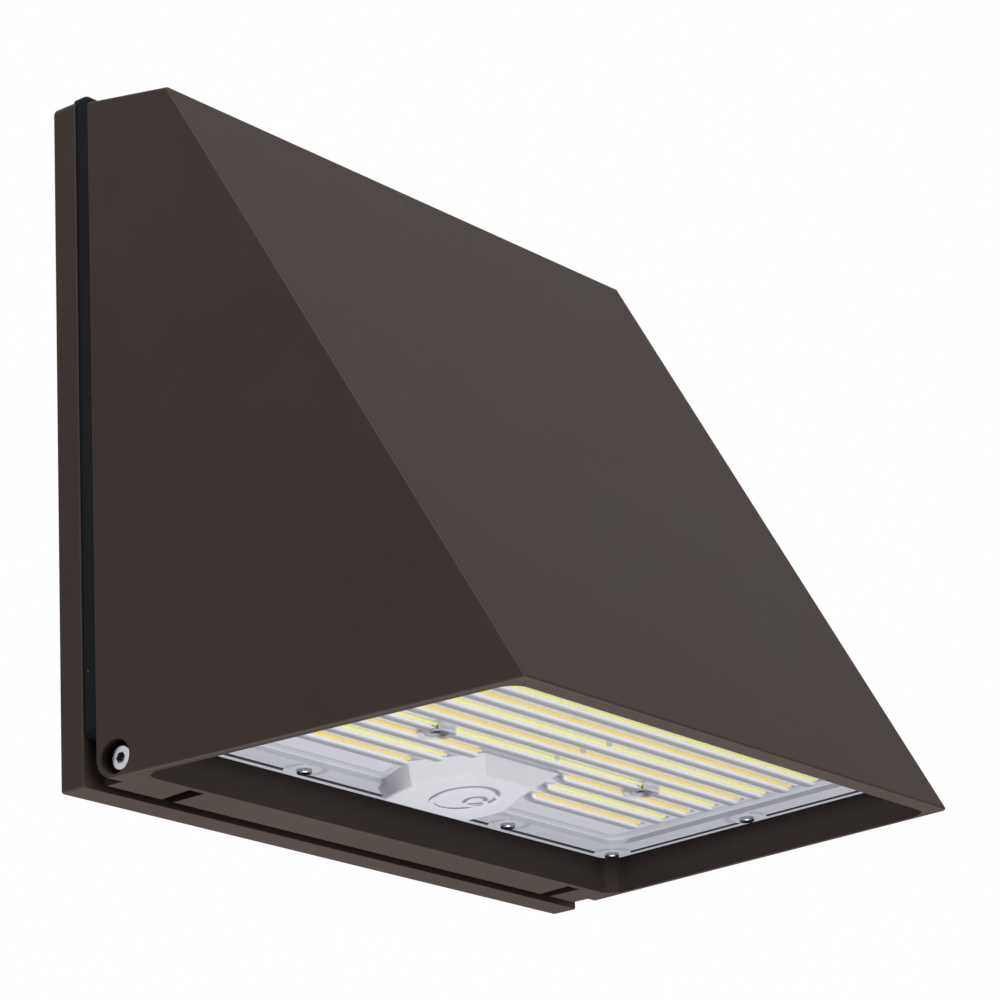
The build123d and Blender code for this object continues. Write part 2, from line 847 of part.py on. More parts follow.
# Lens ----------------------------------------------------------------------------------------
with BuildPart() as lens:
    with BuildSketch(Plane.XY.offset(flange_z)):
        add(lens_outline(0.0, lens_corner_radius))
        add(lens_outline(lens_flange_width + field_wall, lens_corner_radius), mode=Mode.SUBTRACT)
    extrude(amount=lens_flange_thickness)
    with BuildSketch(Plane.XY.offset(field_z)):
        add(lens_outline(lens_flange_width, lens_corner_radius))
    extrude(amount=field_thickness)
    for row_depth in row_depths:
        for left, right in rib_spans(row_depth):
            add(half_round(rib_width, rib_rise, field_z, left, right, row_depth, field_z + field_thickness))
    for row_depth in row_depths:
        for left, right in rib_spans(row_depth):
            channel = half_round(
                rib_bore_width,
                rib_bore_rise,
                field_z,
                left + rib_end_wall,
                right - rib_end_wall,
                row_depth,
                field_z + field_thickness + cut_over,
            )
            add(channel, mode=Mode.SUBTRACT)
    # cups round the field screws
    with BuildSketch(Plane.XY.offset(field_z - cup_rise)):
        with Locations(*field_screw_places):
            Circle(cup_diameter / 2)
    extrude(amount=cup_rise + field_thickness)
    with BuildSketch(Plane.XY.offset(field_z)):
        with Locations(*field_screw_places):
            Circle(cup_bore_diameter / 2)
    extrude(amount=-(cup_rise + rib_rise), mode=Mode.SUBTRACT)
    # small moulding nubs on the middle line, between the ribs
    with BuildSketch(Plane.XY.offset(field_z)):
        with Locations(*[(0, -depth - row_pitch / 2) for depth in open_row_depths[:nub_count]]):
            SlotOverall(nub_length, nub_width)
    extrude(amount=-nub_rise)
    # screw holes and the opening for the sensor window
    with BuildSketch(Plane.XY.offset(flange_z - cut_over)):
        with Locations(*rim_screw_places(), *field_screw_places):
            Circle(lens_screw_diameter / 2 + seat_gap)
        Polygon(*window_points(), align=None)
    extrude(amount=lens_flange_thickness + field_thickness + 2 * cut_over, mode=Mode.SUBTRACT)
write(lens.part, "lens")

with BuildPart() as lens_gasket:
    with BuildSketch(Plane.XY.offset(land_z)):
        add(lens_outline(seal_inset + thread_gap, lens_corner_radius - seal_inset))
        inner_inset = seal_inset + seal_width - thread_gap
        add(lens_outline(inner_inset, lens_corner_radius - inner_inset), mode=Mode.SUBTRACT)
    extrude(amount=seal_depth - thread_gap)
write(lens_gasket.part, "lens_gasket")

lens_rim_screws = pan_screws(
    rim_screw_places(),
    flange_z,
    1,
    lens_screw_diameter,
    lens_screw_head_diameter,
    lens_screw_head_height,
    lens_screw_length,
)
write(lens_rim_screws, "lens_rim_screws")

lens_field_screws = pan_screws(
    field_screw_places,
    field_z,
    1,
    lens_screw_diameter,
    lens_screw_head_diameter,
    lens_screw_head_height,
    field_screw_length,
)
write(lens_field_screws, "lens_field_screws")

# Sensor window and sensor --------------------------------------------------------------------
with BuildPart() as sensor_window:
    with BuildSketch(Plane.XY.offset(field_z)):
        Polygon(*window_points(), align=None)
    extrude(amount=field_thickness)
    add(window_frustum(0.0))
    fillet(sensor_window.faces().sort_by(Axis.Z)[0].edges(), window_edge_radius)
    add(window_frustum(window_wall), mode=Mode.SUBTRACT)
    with BuildSketch(Plane.XY.offset(field_z)):
        Polygon(*window_points(-window_wall), align=None)
    extrude(amount=field_thickness, mode=Mode.SUBTRACT)
write(sensor_window.part, "sensor_window")

with BuildPart() as sensor_module:
    with BuildSketch(Plane.XY.offset(shelf_z)):
        with Locations((0, -sensor_depth)):
            RectangleRounded(sensor_base_width, sensor_base_length * sensor_ear_share, sensor_corner_radius)
    extrude(amount=sensor_ear_thickness)
    with BuildSketch(Plane.XY.offset(shelf_z)):
        with Locations((0, -sensor_depth)):
            RectangleRounded(sensor_body_width, sensor_base_length, sensor_corner_radius)
    extrude(amount=sensor_base_thickness)
    fillet(sensor_module.edges().group_by(Axis.Z)[-1], sensor_top_round)
    with BuildSketch(Plane.XY.offset(rim_z + sensor_face_height)):
        with Locations((0, -sensor_depth)):
            Circle(sensor_body_diameter / 2)
    extrude(amount=shelf_top_height - sensor_face_height)
    fillet(sensor_module.edges().group_by(Axis.Z)[0], sensor_face_round)
    with BuildSketch(Plane.XY.offset(rim_z + sensor_face_height)):
        with Locations((sensor_eye_offset, -sensor_depth)):
            Circle(sensor_eye_diameter / 2 + thread_gap)
    extrude(amount=sensor_eye_seat, mode=Mode.SUBTRACT)
    with BuildSketch(Plane.XY.offset(shelf_z - cut_over)):
        with Locations(*sensor_screw_places):
            Circle(small_screw_diameter / 2 + seat_gap)
    extrude(amount=sensor_ear_thickness + cut_over, mode=Mode.SUBTRACT)
write(sensor_module.part, "sensor_module")

with BuildPart() as sensor_lens:
    with BuildSketch(Plane.XY.offset(rim_z + sensor_face_height + sensor_eye_seat)):
        with Locations((sensor_eye_offset, -sensor_depth)):
            Circle(sensor_eye_diameter / 2)
    extrude(amount=-(sensor_eye_seat + sensor_eye_reach))
    fillet(sensor_lens.edges().group_by(Axis.Z)[0], sensor_eye_reach - sensor_eye_flat)
write(sensor_lens.part, "sensor_lens")

sensor_base_screws = pan_screws(
    sensor_screw_places,
    shelf_z + sensor_ear_thickness,
    -1,
    small_screw_diameter,
    small_screw_head_diameter,
    small_screw_head_height,
    small_screw_length,
)
write(sensor_base_screws, "sensor_base_screws")

# LED board -----------------------------------------------------------------------------------
with BuildPart() as led_board:
    with BuildSketch(Plane.XY.offset(board_z)):
        add(tapered_outline(board_back_depth, board_front_depth, board_inset, board_corner_radius))
        Polygon(*window_points(), align=None, mode=Mode.SUBTRACT)
    extrude(amount=board_thickness)
    with BuildSketch(Plane.XY.offset(board_z)):
        with Locations(*field_screw_places):
            Circle(lens_screw_diameter / 2 + seat_gap)
        with Locations(*board_screw_places):
            Circle(small_screw_diameter / 2 + seat_gap)
    extrude(amount=board_thickness, mode=Mode.SUBTRACT)
write(led_board.part, "led_board")


def led_rows(rows):
    """LED packages of the given rows, soldered under the board."""
    with BuildPart() as leds:
        for i in rows:
            with BuildSketch(Plane.XY.offset(led_z)):
                with Locations(*led_places(row_depths[i])):
                    Rectangle(led_length, led_width)
            extrude(amount=led_thickness)
    return leds.part


leds_cool = led_rows(range(row_count - 1, -1, -2))
write(leds_cool, "leds_cool")

leds_warm = led_rows(range(row_count - 2, -1, -2))
write(leds_warm, "leds_warm")

board_screws = pan_screws(
    board_screw_places,
    board_z,
    1,
    small_screw_diameter,
    small_screw_head_diameter,
    board_screw_head_height,
    board_screw_length,
)
write(board_screws, "board_screws")

with BuildPart() as board_connectors:
    with BuildSketch(Plane.XY.offset(board_z)):
        with Locations(*connector_places):
            RectangleRounded(connector_length, connector_width, connector_radius)
    extrude(amount=-led_thickness)
write(board_connectors.part, "board_connectors")

# Driver --------------------------------------------------------------------------------------
selector_places = [driver_x - selector_spacing / 2, driver_x + selector_spacing / 2]
selector_z = driver_z + selector_rise
selector_plane = Plane(origin=(0, -driver_back_depth, selector_z), x_dir=(1, 0, 0), z_dir=(0, 1, 0))

with BuildPart() as driver_case:
    with BuildSketch(Plane.XY.offset(driver_z)):
        with Locations((driver_x, -driver_mid_depth)):
            Rectangle(driver_length, driver_width)
    extrude(amount=driver_height)
    fillet(driver_case.edges().filter_by(Axis.Z), driver_edge_radius)
    fillet(driver_case.edges().group_by(Axis.Z)[-1], driver_edge_radius)
    with BuildSketch(Plane.XY.offset(driver_z)):
        with Locations((driver_x, -driver_mid_depth)):
            RectangleRounded(
                driver_length + 2 * driver_foot_length,
                driver_width - 2 * driver_foot_step,
                driver_foot_radius,
            )
    extrude(amount=driver_foot_thickness)
    with BuildSketch(Plane.XY.offset(driver_z)):
        with Locations(*driver_screw_places):
            Circle(driver_screw_diameter / 2 + seat_gap)
    extrude(amount=driver_foot_thickness, mode=Mode.SUBTRACT)
    # pockets of the two selectors
    with BuildSketch(selector_plane):
        with Locations(*[(x, 0) for x in selector_places]):
            Rectangle(selector_length + 2 * thread_gap, selector_height + 2 * thread_gap)
    extrude(amount=-selector_thickness, mode=Mode.SUBTRACT)
write(driver_case.part, "driver_case")

driver_screws = pan_screws(
    driver_screw_places,
    driver_z + driver_foot_thickness,
    -1,
    driver_screw_diameter,
    driver_screw_head_diameter,
    driver_screw_head_height,
    driver_screw_length,
)
write(driver_screws, "driver_screws")


def selector_frame(x):
    """Frame of one slide switch, with the slot and the cavity for its knob's shoe."""
    cavity_length = selector_knob_length + 2 * (selector_shoe_overlap + selector_travel + slide_gap)
    cavity_height = selector_slot_height + 2 * selector_shoe_overlap
    with BuildPart() as frame:
        with BuildSketch(selector_plane):
            with Locations((x, 0)):
                Rectangle(selector_length, selector_height)
        extrude(amount=-selector_thickness)
        with BuildSketch(selector_plane):
            with Locations((x, 0)):
                Rectangle(selector_knob_length + 2 * (selector_travel + slide_gap), selector_slot_height)
        extrude(amount=-selector_lip, mode=Mode.SUBTRACT)
        with BuildSketch(selector_plane.offset(-selector_lip)):
            with Locations((x, 0)):
                Rectangle(cavity_length, cavity_height)
        extrude(amount=-selector_cavity, mode=Mode.SUBTRACT)
    return frame.part


def selector_knob(x):
    """Knob of one slide switch: its stem in the slot and its shoe behind the lip."""
    with BuildPart() as knob:
        with BuildSketch(selector_plane.offset(-selector_lip - selector_cavity + slide_gap)):
            with Locations((x, 0)):
                Rectangle(selector_knob_length, selector_slot_height - 2 * slide_gap)
        extrude(amount=selector_cavity + selector_lip + selector_knob_reach - slide_gap)
        with BuildSketch(selector_plane.offset(-selector_lip - selector_cavity + slide_gap)):
            with Locations((x, 0)):
                Rectangle(
                    selector_knob_length + 2 * selector_shoe_overlap,
                    selector_slot_height + 2 * (selector_shoe_overlap - slide_gap),
                )
        extrude(amount=selector_cavity - 2 * slide_gap)
    return knob.part


for selector_name, selector_x in zip(("power_selector", "colour_selector"), selector_places):
    write(selector_frame(selector_x), f"{selector_name}_frame")
    write(selector_knob(selector_x), f"{selector_name}_knob")


# Leads ---------------------------------------------------------------------------------------
def lead(name, points):
    """Insulated lead along straight runs joined by the largest arcs that the runs allow."""
    runs = [(Vector(*b) - Vector(*a)).length for a, b in zip(points, points[1:])]
    radius = lead_bend_share * min(runs)
    with BuildPart() as wire:
        with BuildLine():
            route = FilletPolyline(*points, radius=radius)
        with BuildSketch(Plane(origin=route @ 0, z_dir=route % 0)):
            Circle(lead_diameter / 2)
        sweep(path=route)
    section = math.pi * lead_diameter**2 / 4
    length = route.length
    share = wire.part.volume / (section * length)
    print(f"{name}: bend radius {radius:.1f}, length {length:.1f}, volume / (section x length) {share:.4f}")
    return wire.part


for i, lead_name in enumerate(("led_lead_positive", "led_lead_negative")):
    offset_in_pair = (i - 0.5) * led_lead_spacing
    exit_y = -driver_mid_depth + offset_in_pair
    end_x = grommet_x + offset_in_pair
    lead_points = [
        (driver_right_x, exit_y, lead_z),
        (end_x, exit_y, lead_z),
        (end_x, -grommet_depth, lead_z),
        (end_x, -grommet_depth, pocket_z),
    ]
    write(lead(lead_name, lead_points), lead_name)

with BuildPart() as lead_grommet:
    with BuildSketch(Plane.XY.offset(pocket_z + seat_gap)):
        with Locations((grommet_x, -grommet_depth)):
            Circle(grommet_hole_diameter / 2)
    extrude(amount=shelf_z - pocket_z - seat_gap)
    with BuildSketch(Plane.XY.offset(shelf_z)):
        with Locations((grommet_x, -grommet_depth)):
            Circle(grommet_collar_diameter / 2)
    extrude(amount=grommet_collar)
    with BuildSketch(Plane.XY.offset(pocket_z)):
        with Locations(*[(grommet_x + (i - 0.5) * led_lead_spacing, -grommet_depth) for i in range(2)]):
            Circle(lead_diameter / 2 + thread_gap)
    extrude(amount=housing_height, mode=Mode.SUBTRACT)
write(lead_grommet.part, "lead_grommet")

sensor_lead_x = sensor_body_width / 2 + sensor_lead_reach
sensor_lead_z = shelf_z + sensor_base_thickness - sensor_lead_drop
sensor_lead_points = [
    (sensor_body_width / 2, -sensor_depth, sensor_lead_z),
    (sensor_lead_x, -sensor_depth, sensor_lead_z),
    (sensor_lead_x, -driver_back_depth, sensor_lead_z),
]
write(lead("sensor_lead", sensor_lead_points), "sensor_lead")

for i, lead_name in enumerate(("line_lead", "neutral_lead", "earth_lead")):
    supply_x = terminal_x + (i - 1) * supply_lead_spacing
    supply_y = -driver_mid_depth + (i - 1) * supply_lead_spacing
    lead_points = [
        (driver_left_x, supply_y, lead_z),
        (supply_x, supply_y, lead_z),
        (supply_x, -terminal_front_depth + lead_insertion, lead_z),
    ]
    write(lead(lead_name, lead_points), lead_name)

# Terminal block ------------------------------------------------------------------------------
clamp_places = [
    (terminal_x + (i - 1) * supply_lead_spacing, -terminal_depth + side * terminal_clamp_offset)
    for i in range(3)
    for side in (-1, 1)
]

with BuildPart() as terminal_block:
    with BuildSketch(Plane.XY.offset(shelf_z)):
        with Locations((terminal_x, -terminal_depth)):
            Rectangle(terminal_length, terminal_width)
    extrude(amount=terminal_height)
    chamfer(terminal_block.edges().group_by(Axis.Z)[-1].filter_by(Axis.X), terminal_chamfer)
    with BuildSketch(Plane.XY.offset(shelf_z)):
        with Locations(terminal_screw_place):
            Rectangle(terminal_foot, terminal_foot)
    extrude(amount=terminal_foot_thickness)
    with BuildSketch(Plane.XY.offset(shelf_z)):
        with Locations(terminal_screw_place):
            Circle(small_screw_diameter / 2 + seat_gap)
    extrude(amount=terminal_foot_thickness, mode=Mode.SUBTRACT)
    # wire entries from both sides, and the clamp screws' holes from the top
    for side in (-1, 1):
        with BuildSketch(Plane.XZ.offset(terminal_depth - side * terminal_width / 2)):
            with Locations(*[(terminal_x + (i - 1) * supply_lead_spacing, lead_z) for i in range(3)]):
                Circle(terminal_wire_diameter / 2)
        extrude(amount=side * (lead_insertion + hole_end_gap), mode=Mode.SUBTRACT)
    with BuildSketch(Plane.XY.offset(lead_z)):
        with Locations(*clamp_places):
            Circle(terminal_clamp_diameter / 2 + thread_gap)
    extrude(amount=terminal_height, mode=Mode.SUBTRACT)
    with BuildSketch(Plane.XY.offset(shelf_z + terminal_height - terminal_clamp_depth)):
        with Locations(*clamp_places):
            Circle(terminal_clamp_head_diameter / 2 + seat_gap)
    extrude(amount=terminal_clamp_depth, mode=Mode.SUBTRACT)
write(terminal_block.part, "terminal_block")

with BuildPart() as terminal_clamp_screws:
    with BuildSketch(Plane.XY.offset(lead_z + lead_diameter / 2 + thread_gap)):
        with Locations(*clamp_places):
            Circle(terminal_clamp_diameter / 2)
    extrude(amount=shelf_z + terminal_height - terminal_clamp_depth - lead_z - lead_diameter / 2)
    with BuildSketch(Plane.XY.offset(shelf_z + terminal_height - terminal_clamp_depth + thread_gap)):
        with Locations(*clamp_places):
            Circle(terminal_clamp_head_diameter / 2)
    extrude(amount=terminal_clamp_depth * terminal_clamp_head_share)
    with BuildSketch(Plane.XY.offset(shelf_z + terminal_height)):
        with Locations(*clamp_places):
            Rectangle(terminal_clamp_head_diameter, cross_recess_width)
    extrude(amount=-terminal_clamp_depth * terminal_clamp_slot_share, mode=Mode.SUBTRACT)
write(terminal_clamp_screws.part, "terminal_clamp_screws")

terminal_fixing_screw = pan_screws(
    [terminal_screw_place],
    shelf_z + terminal_foot_thickness,
    -1,
    small_screw_diameter,
    small_screw_head_diameter,
    small_screw_head_height,
    small_screw_length,
)
write(terminal_fixing_screw, "terminal_fixing_screw")


def hex_head_screw(plane, shank, length):
    """Earth screw with a six-sided washer head, its seat on the plane."""
    with BuildPart() as screw:
        with BuildSketch(plane):
            RegularPolygon(earth_head_width / 2, 6, major_radius=False)
        extrude(amount=earth_head_height)
        with BuildSketch(plane):
            Circle(earth_head_width / 2 + earth_washer_rim)
        extrude(amount=earth_washer_thickness)
        with BuildSketch(plane):
            Circle(shank / 2)
        extrude(amount=-length)
        with BuildSketch(plane.offset(earth_head_height)):
            Rectangle(earth_head_width, cross_recess_width)
        extrude(amount=-cross_recess_width, mode=Mode.SUBTRACT)
    return screw.part


housing_earth_plane = Plane(
    origin=(housing_earth_x, -housing_earth_depth, shelf_z + earth_boss_height),
    x_dir=(1, 0, 0),
    z_dir=(0, 0, 1),
)
write(hex_head_screw(housing_earth_plane, lens_screw_diameter, earth_shank_length), "housing_earth_screw")

# Closing screw -------------------------------------------------------------------------------
closing_nut_z = lug_top_z - lug_thickness - nut_gap - closing_nut_height
closing_head_z = closing_spot_z + closing_seal_thickness

with BuildPart() as closing_screw:
    with BuildSketch(Plane.XY.offset(closing_head_z)):
        with Locations((0, -closing_depth)):
            Circle(closing_head_diameter / 2)
    extrude(amount=closing_head_height)
    fillet(closing_screw.edges().group_by(Axis.Z)[-1], closing_head_round)
    with BuildSketch(Plane.XY.offset(closing_head_z)):
        with Locations((0, -closing_depth)):
            Circle(closing_screw_diameter / 2)
    extrude(amount=closing_nut_z - closing_screw_tail - closing_head_z)
    with BuildSketch(Plane.XY.offset(closing_head_z + closing_head_height)):
        with Locations((0, -closing_depth)):
            RegularPolygon(closing_hex / 2, 6, major_radius=False)
    extrude(amount=-closing_hex_depth, mode=Mode.SUBTRACT)
write(closing_screw.part, "closing_screw")

with BuildPart() as closing_screw_seal:
    with BuildSketch(Plane.XY.offset(closing_spot_z)):
        with Locations((0, -closing_depth)):
            Circle(closing_spot_diameter / 2 - seat_gap)
            Circle(closing_screw_diameter / 2 + thread_gap, mode=Mode.SUBTRACT)
    extrude(amount=closing_seal_thickness)
write(closing_screw_seal.part, "closing_screw_seal")

with BuildPart() as closing_nut:
    with BuildSketch(Plane.XY.offset(closing_nut_z)):
        with Locations((0, -closing_depth)):
            RectangleRounded(closing_nut_side, closing_nut_side, closing_nut_radius)
            Circle(closing_screw_diameter / 2 + thread_gap, mode=Mode.SUBTRACT)
    extrude(amount=closing_nut_height)
write(closing_nut.part, "closing_nut")

# Back plate ----------------------------------------------------------------------------------
gasket_half_width = housing_width / 2 + gasket_side_reach
gasket_top_z = plate_height / 2 + gasket_top_reach
gasket_bottom_z = rim_z + gasket_bottom_height
pocket_half_width = gasket_half_width - gasket_width - gasket_land
pocket_bottom_z = gasket_bottom_z + gasket_width + gasket_land
pocket_top_z = gasket_top_z - gasket_width - gasket_land


def upright_rectangle(half_x, low, high):
    """Rectangle in an upright sketch between two heights, centred on x = 0."""
    with Locations((0, (low + high) / 2)):
        Rectangle(2 * half_x, high - low)


def gasket_loop(side_gap):
    """Face of the gasket loop in an upright plane, `side_gap` larger all round."""
    with BuildSketch(Plane.XZ) as loop:
        upright_rectangle(gasket_half_width + side_gap, gasket_bottom_z - side_gap, gasket_top_z + side_gap)
        fillet(loop.vertices(), gasket_corner_radius)
        inner_half = gasket_half_width - gasket_width - side_gap
        with Locations((0, (gasket_bottom_z + gasket_top_z) / 2)):
            RectangleRounded(
                2 * inner_half,
                gasket_top_z - gasket_bottom_z - 2 * gasket_width - 2 * side_gap,
                gasket_inner_radius,
                mode=Mode.SUBTRACT,
            )
    return loop.sketch


bolt_places = [
    (i * bolt_spacing_x / 2, j * bolt_spacing_z / 2) for i in (-1, 1) for j in (-1, 1)
]

with BuildPart() as back_plate:
    with BuildSketch(Plane.XZ) as outline:
        Rectangle(plate_width, plate_height)
        fillet(outline.vertices().group_by(Axis.Y)[-1], plate_top_radius)
        fillet(outline.vertices().group_by(Axis.Y)[0], plate_bottom_radius)
    extrude(amount=plate_thickness)
    fillet(back_plate.faces().sort_by(Axis.Y)[-1].edges(), plate_back_edge_radius)
    chamfer(back_plate.faces().sort_by(Axis.Y)[0].edges(), plate_front_chamfer)
    # pocket behind the housing
    with BuildSketch(Plane.XZ.offset(plate_floor)) as pocket:
        upright_rectangle(pocket_half_width, pocket_bottom_z, pocket_top_z)
        fillet(pocket.vertices(), plate_pocket_radius)
    extrude(amount=plate_thickness, mode=Mode.SUBTRACT)
    # groove of the housing gasket
    with BuildSketch(Plane.XZ.offset(plate_thickness - gasket_groove_depth)):
        add(gasket_loop(thread_gap))
    extrude(amount=plate_thickness, mode=Mode.SUBTRACT)
    # bosses on the floor
    with BuildSketch(Plane.XZ.offset(plate_floor - boss_sink)):
        with Locations(*bolt_places):
            Circle(bolt_boss_diameter / 2)
    extrude(amount=bolt_boss_height + boss_sink)
    with BuildSketch(Plane.XZ.offset(plate_floor - boss_sink)):
        with Locations((earth_screw_x, earth_screw_z)):
            Circle(earth_boss_diameter / 2)
    extrude(amount=earth_boss_height + boss_sink)
    # hinge arms with round noses
    for side, arm_x in arms:
        with BuildSketch(Plane.YZ.offset(arm_x - arm_thickness / 2)):
            with BuildLine():
                Polyline(
                    (-hinge_depth, hinge_z + arm_nose_radius),
                    (-plate_thickness + cut_over, hinge_z + arm_nose_radius),
                    (-plate_thickness + cut_over, hinge_z - arm_nose_radius),
                    (-hinge_depth, hinge_z - arm_nose_radius),
                )
                ThreePointArc(
                    (-hinge_depth, hinge_z - arm_nose_radius),
                    (-hinge_depth - arm_nose_radius, hinge_z),
                    (-hinge_depth, hinge_z + arm_nose_radius),
                )
            make_face()
        extrude(amount=arm_thickness)
        with BuildSketch(Plane.YZ.offset(arm_x - arm_thickness)):
            with Locations((-hinge_depth, hinge_z)):
                Circle(hinge_shank_diameter / 2 + thread_gap)
        extrude(amount=2 * arm_thickness, mode=Mode.SUBTRACT)
    # lug for the closing screw, with two gussets and a slot open to the front
    with BuildSketch(Plane.XY.offset(lug_top_z)):
        with Locations((0, -plate_floor + cut_over)):
            Rectangle(lug_width, lug_front_depth - plate_floor + cut_over, align=(Align.CENTER, Align.MAX))
    extrude(amount=-lug_thickness)
    for side in (-1, 1):
        with BuildSketch(Plane.YZ.offset(side * (lug_width / 2 - gusset_thickness / 2))):
            with BuildLine():
                Polyline(
                    (-plate_floor + cut_over, lug_top_z - cut_over),
                    (-lug_front_depth + gusset_front_step, lug_top_z - cut_over),
                    (-lug_front_depth + gusset_front_step, lug_top_z - lug_thickness - gusset_nose),
                    (-plate_floor, lug_top_z - lug_thickness - gusset_height),
                    (-plate_floor + cut_over, lug_top_z - lug_thickness - gusset_height),
                    close=True,
                )
            make_face()
        extrude(amount=gusset_thickness / 2, both=True)
    with BuildSketch(Plane.XY.offset(lug_top_z + cut_over)):
        with Locations((0, -closing_depth)):
            Circle(lug_slot_width / 2)
            Rectangle(lug_slot_width, housing_height, align=(Align.CENTER, Align.MAX))
    extrude(amount=-lug_thickness - 2 * cut_over, mode=Mode.SUBTRACT)
    # wall side: seat of the foam ring
    with BuildSketch(Plane.XZ):
        Circle(wall_gasket_outer_diameter / 2 + thread_gap)
        Circle(wall_gasket_inner_diameter / 2 - thread_gap, mode=Mode.SUBTRACT)
    extrude(amount=wall_gasket_thickness, mode=Mode.SUBTRACT)
    # bolt holes, wire entry, slots of the wiring box and hole of the earth screw
    with BuildSketch(Plane.XZ.offset(-cut_over)):
        with Locations(*bolt_places):
            Circle(bolt_hole_diameter / 2)
        Circle(wire_hole_diameter / 2)
        with Locations((-box_slot_spacing / 2, 0), (box_slot_spacing / 2, 0)):
            SlotOverall(box_slot_length, box_slot_width)
        with Locations((earth_screw_x, earth_screw_z)):
            Circle(lens_screw_diameter / 2 + thread_gap)
    extrude(amount=plate_thickness, mode=Mode.SUBTRACT)
write(back_plate.part, "back_plate")

with BuildPart() as housing_gasket:
    with BuildSketch(Plane.XZ.offset(plate_thickness - gasket_groove_depth)):
        add(gasket_loop(0.0))
    extrude(amount=gasket_gap + gasket_groove_depth - gasket_seal_gap)
    front_rim = housing_gasket.faces().sort_by(Axis.Y)[0].outer_wire().edges()
    fillet(front_rim, gasket_round)
write(housing_gasket.part, "housing_gasket")

with BuildPart() as wall_gasket:
    with BuildSketch(Plane.XZ):
        Circle(wall_gasket_outer_diameter / 2)
        Circle(wall_gasket_inner_diameter / 2, mode=Mode.SUBTRACT)
    extrude(amount=wall_gasket_thickness)
write(wall_gasket.part, "wall_gasket")

with BuildPart() as wire_entry_bushing:
    with BuildSketch(Plane.XZ):
        Circle(wire_hole_diameter / 2 - seat_gap)
    extrude(amount=plate_floor)
    with BuildSketch(Plane.XZ.offset(plate_floor)):
        Circle(bushing_collar_diameter / 2)
    extrude(amount=bushing_collar_thickness)
    fillet(wire_entry_bushing.faces().sort_by(Axis.Y)[0].edges(), bushing_collar_thickness / 2)
    with BuildSketch(Plane.XZ):
        Circle(bushing_bore_diameter / 2)
    extrude(amount=plate_thickness, mode=Mode.SUBTRACT)
write(wire_entry_bushing.part, "wire_entry_bushing")

plate_earth_plane = Plane(
    origin=(earth_screw_x, -plate_floor - earth_boss_height, earth_screw_z),
    x_dir=(1, 0, 0),
    z_dir=(0, -1, 0),
)
write(hex_head_screw(plate_earth_plane, lens_screw_diameter, earth_shank_length), "plate_earth_screw")

# Hinge screws and washers --------------------------------------------------------------------
with BuildPart() as hinge_screws:
    for side, arm_x in arms:
        head_x = side * (counterbore_floor + seat_gap)
        tip_x = arm_x - side * arm_thickness / 2
        with BuildSketch(Plane.YZ.offset(tip_x)):
            with Locations((-hinge_depth, hinge_z)):
                Circle(hinge_shank_diameter / 2)
        extrude(amount=head_x - tip_x)
        with BuildSketch(Plane.YZ.offset(head_x)):
            with Locations((-hinge_depth, hinge_z)):
                Circle(hinge_head_diameter / 2)
        extrude(amount=side * hinge_head_height)
        outer_x = head_x + side * hinge_head_height
        head_rim = hinge_screws.edges().filter_by(GeomType.CIRCLE).filter_by(
            lambda e: abs(e.center().X - outer_x) < edge_tolerance
        )
        fillet(head_rim, hinge_head_round)
        with BuildSketch(Plane.YZ.offset(outer_x)):
            with Locations((-hinge_depth, hinge_z)):
                RegularPolygon(hinge_hex / 2, 6, major_radius=False)
        extrude(amount=-side * hinge_hex_depth, mode=Mode.SUBTRACT)
write(hinge_screws.part, "hinge_screws")

with BuildPart() as hinge_washers:
    for side, arm_x in arms:
        with BuildSketch(Plane.YZ.offset(arm_x + side * (arm_thickness / 2 + seat_gap / 2))):
            with Locations((-hinge_depth, hinge_z)):
                Circle(hinge_washer_diameter / 2)
                Circle(hinge_shank_diameter / 2 + pivot_gap, mode=Mode.SUBTRACT)
        extrude(amount=side * hinge_washer_thickness)
write(hinge_washers.part, "hinge_washers")
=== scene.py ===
"""Finishes, small surface pieces and studio for a wall pack light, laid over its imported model.

Everything is in metres in the model's own frame: X to the right seen from the front, Y into the wall,
Z up, with the origin at the centre of the wall bolts on the wall.
"""

import bpy
import numpy as np
from bpy.props import FloatProperty, FloatVectorProperty, IntProperty, PointerProperty
from bpy.types import Operator, Panel, PropertyGroup
from mathutils import Matrix, Vector


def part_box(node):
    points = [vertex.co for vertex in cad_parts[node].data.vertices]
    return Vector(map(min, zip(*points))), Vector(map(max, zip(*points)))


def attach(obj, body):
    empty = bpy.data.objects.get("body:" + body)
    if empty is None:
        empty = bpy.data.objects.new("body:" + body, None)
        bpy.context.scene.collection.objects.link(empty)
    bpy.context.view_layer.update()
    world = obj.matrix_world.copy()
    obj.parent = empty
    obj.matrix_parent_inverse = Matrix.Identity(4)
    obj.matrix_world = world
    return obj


bl_info = {
    "name": "Wall Pack Light",
    "version": (1, 0, 0),
    "blender": (4, 5, 0),
    "location": "3D View > Sidebar > Wall Pack",
    "description": "Finishes, lens details and studio for a hinged wall pack light",
    "category": "Object",
}

MM = 0.001
PACKAGE_WIDTH = 5.0 * MM

# Sides and rings of the meshes made here
RING_SIDES = 24
LARGE_RING_STEPS = 96
EYE_RING_STEPS = 48
FLOOR_SIDES = 64
FLOOR_RINGS = 8
DOME_SHARES = (1.0, 0.9, 0.6)
DOME_SQUARENESS = 0.45

# Heights above the housing's bottom rim
FIELD_BOTTOM = 17 * MM
RECESS_TOP = 18.5 * MM
FLANGE_TOP = 18.6 * MM
SHEET_BOTTOM = 20.4 * MM
SHEET_TOP = 20.6 * MM

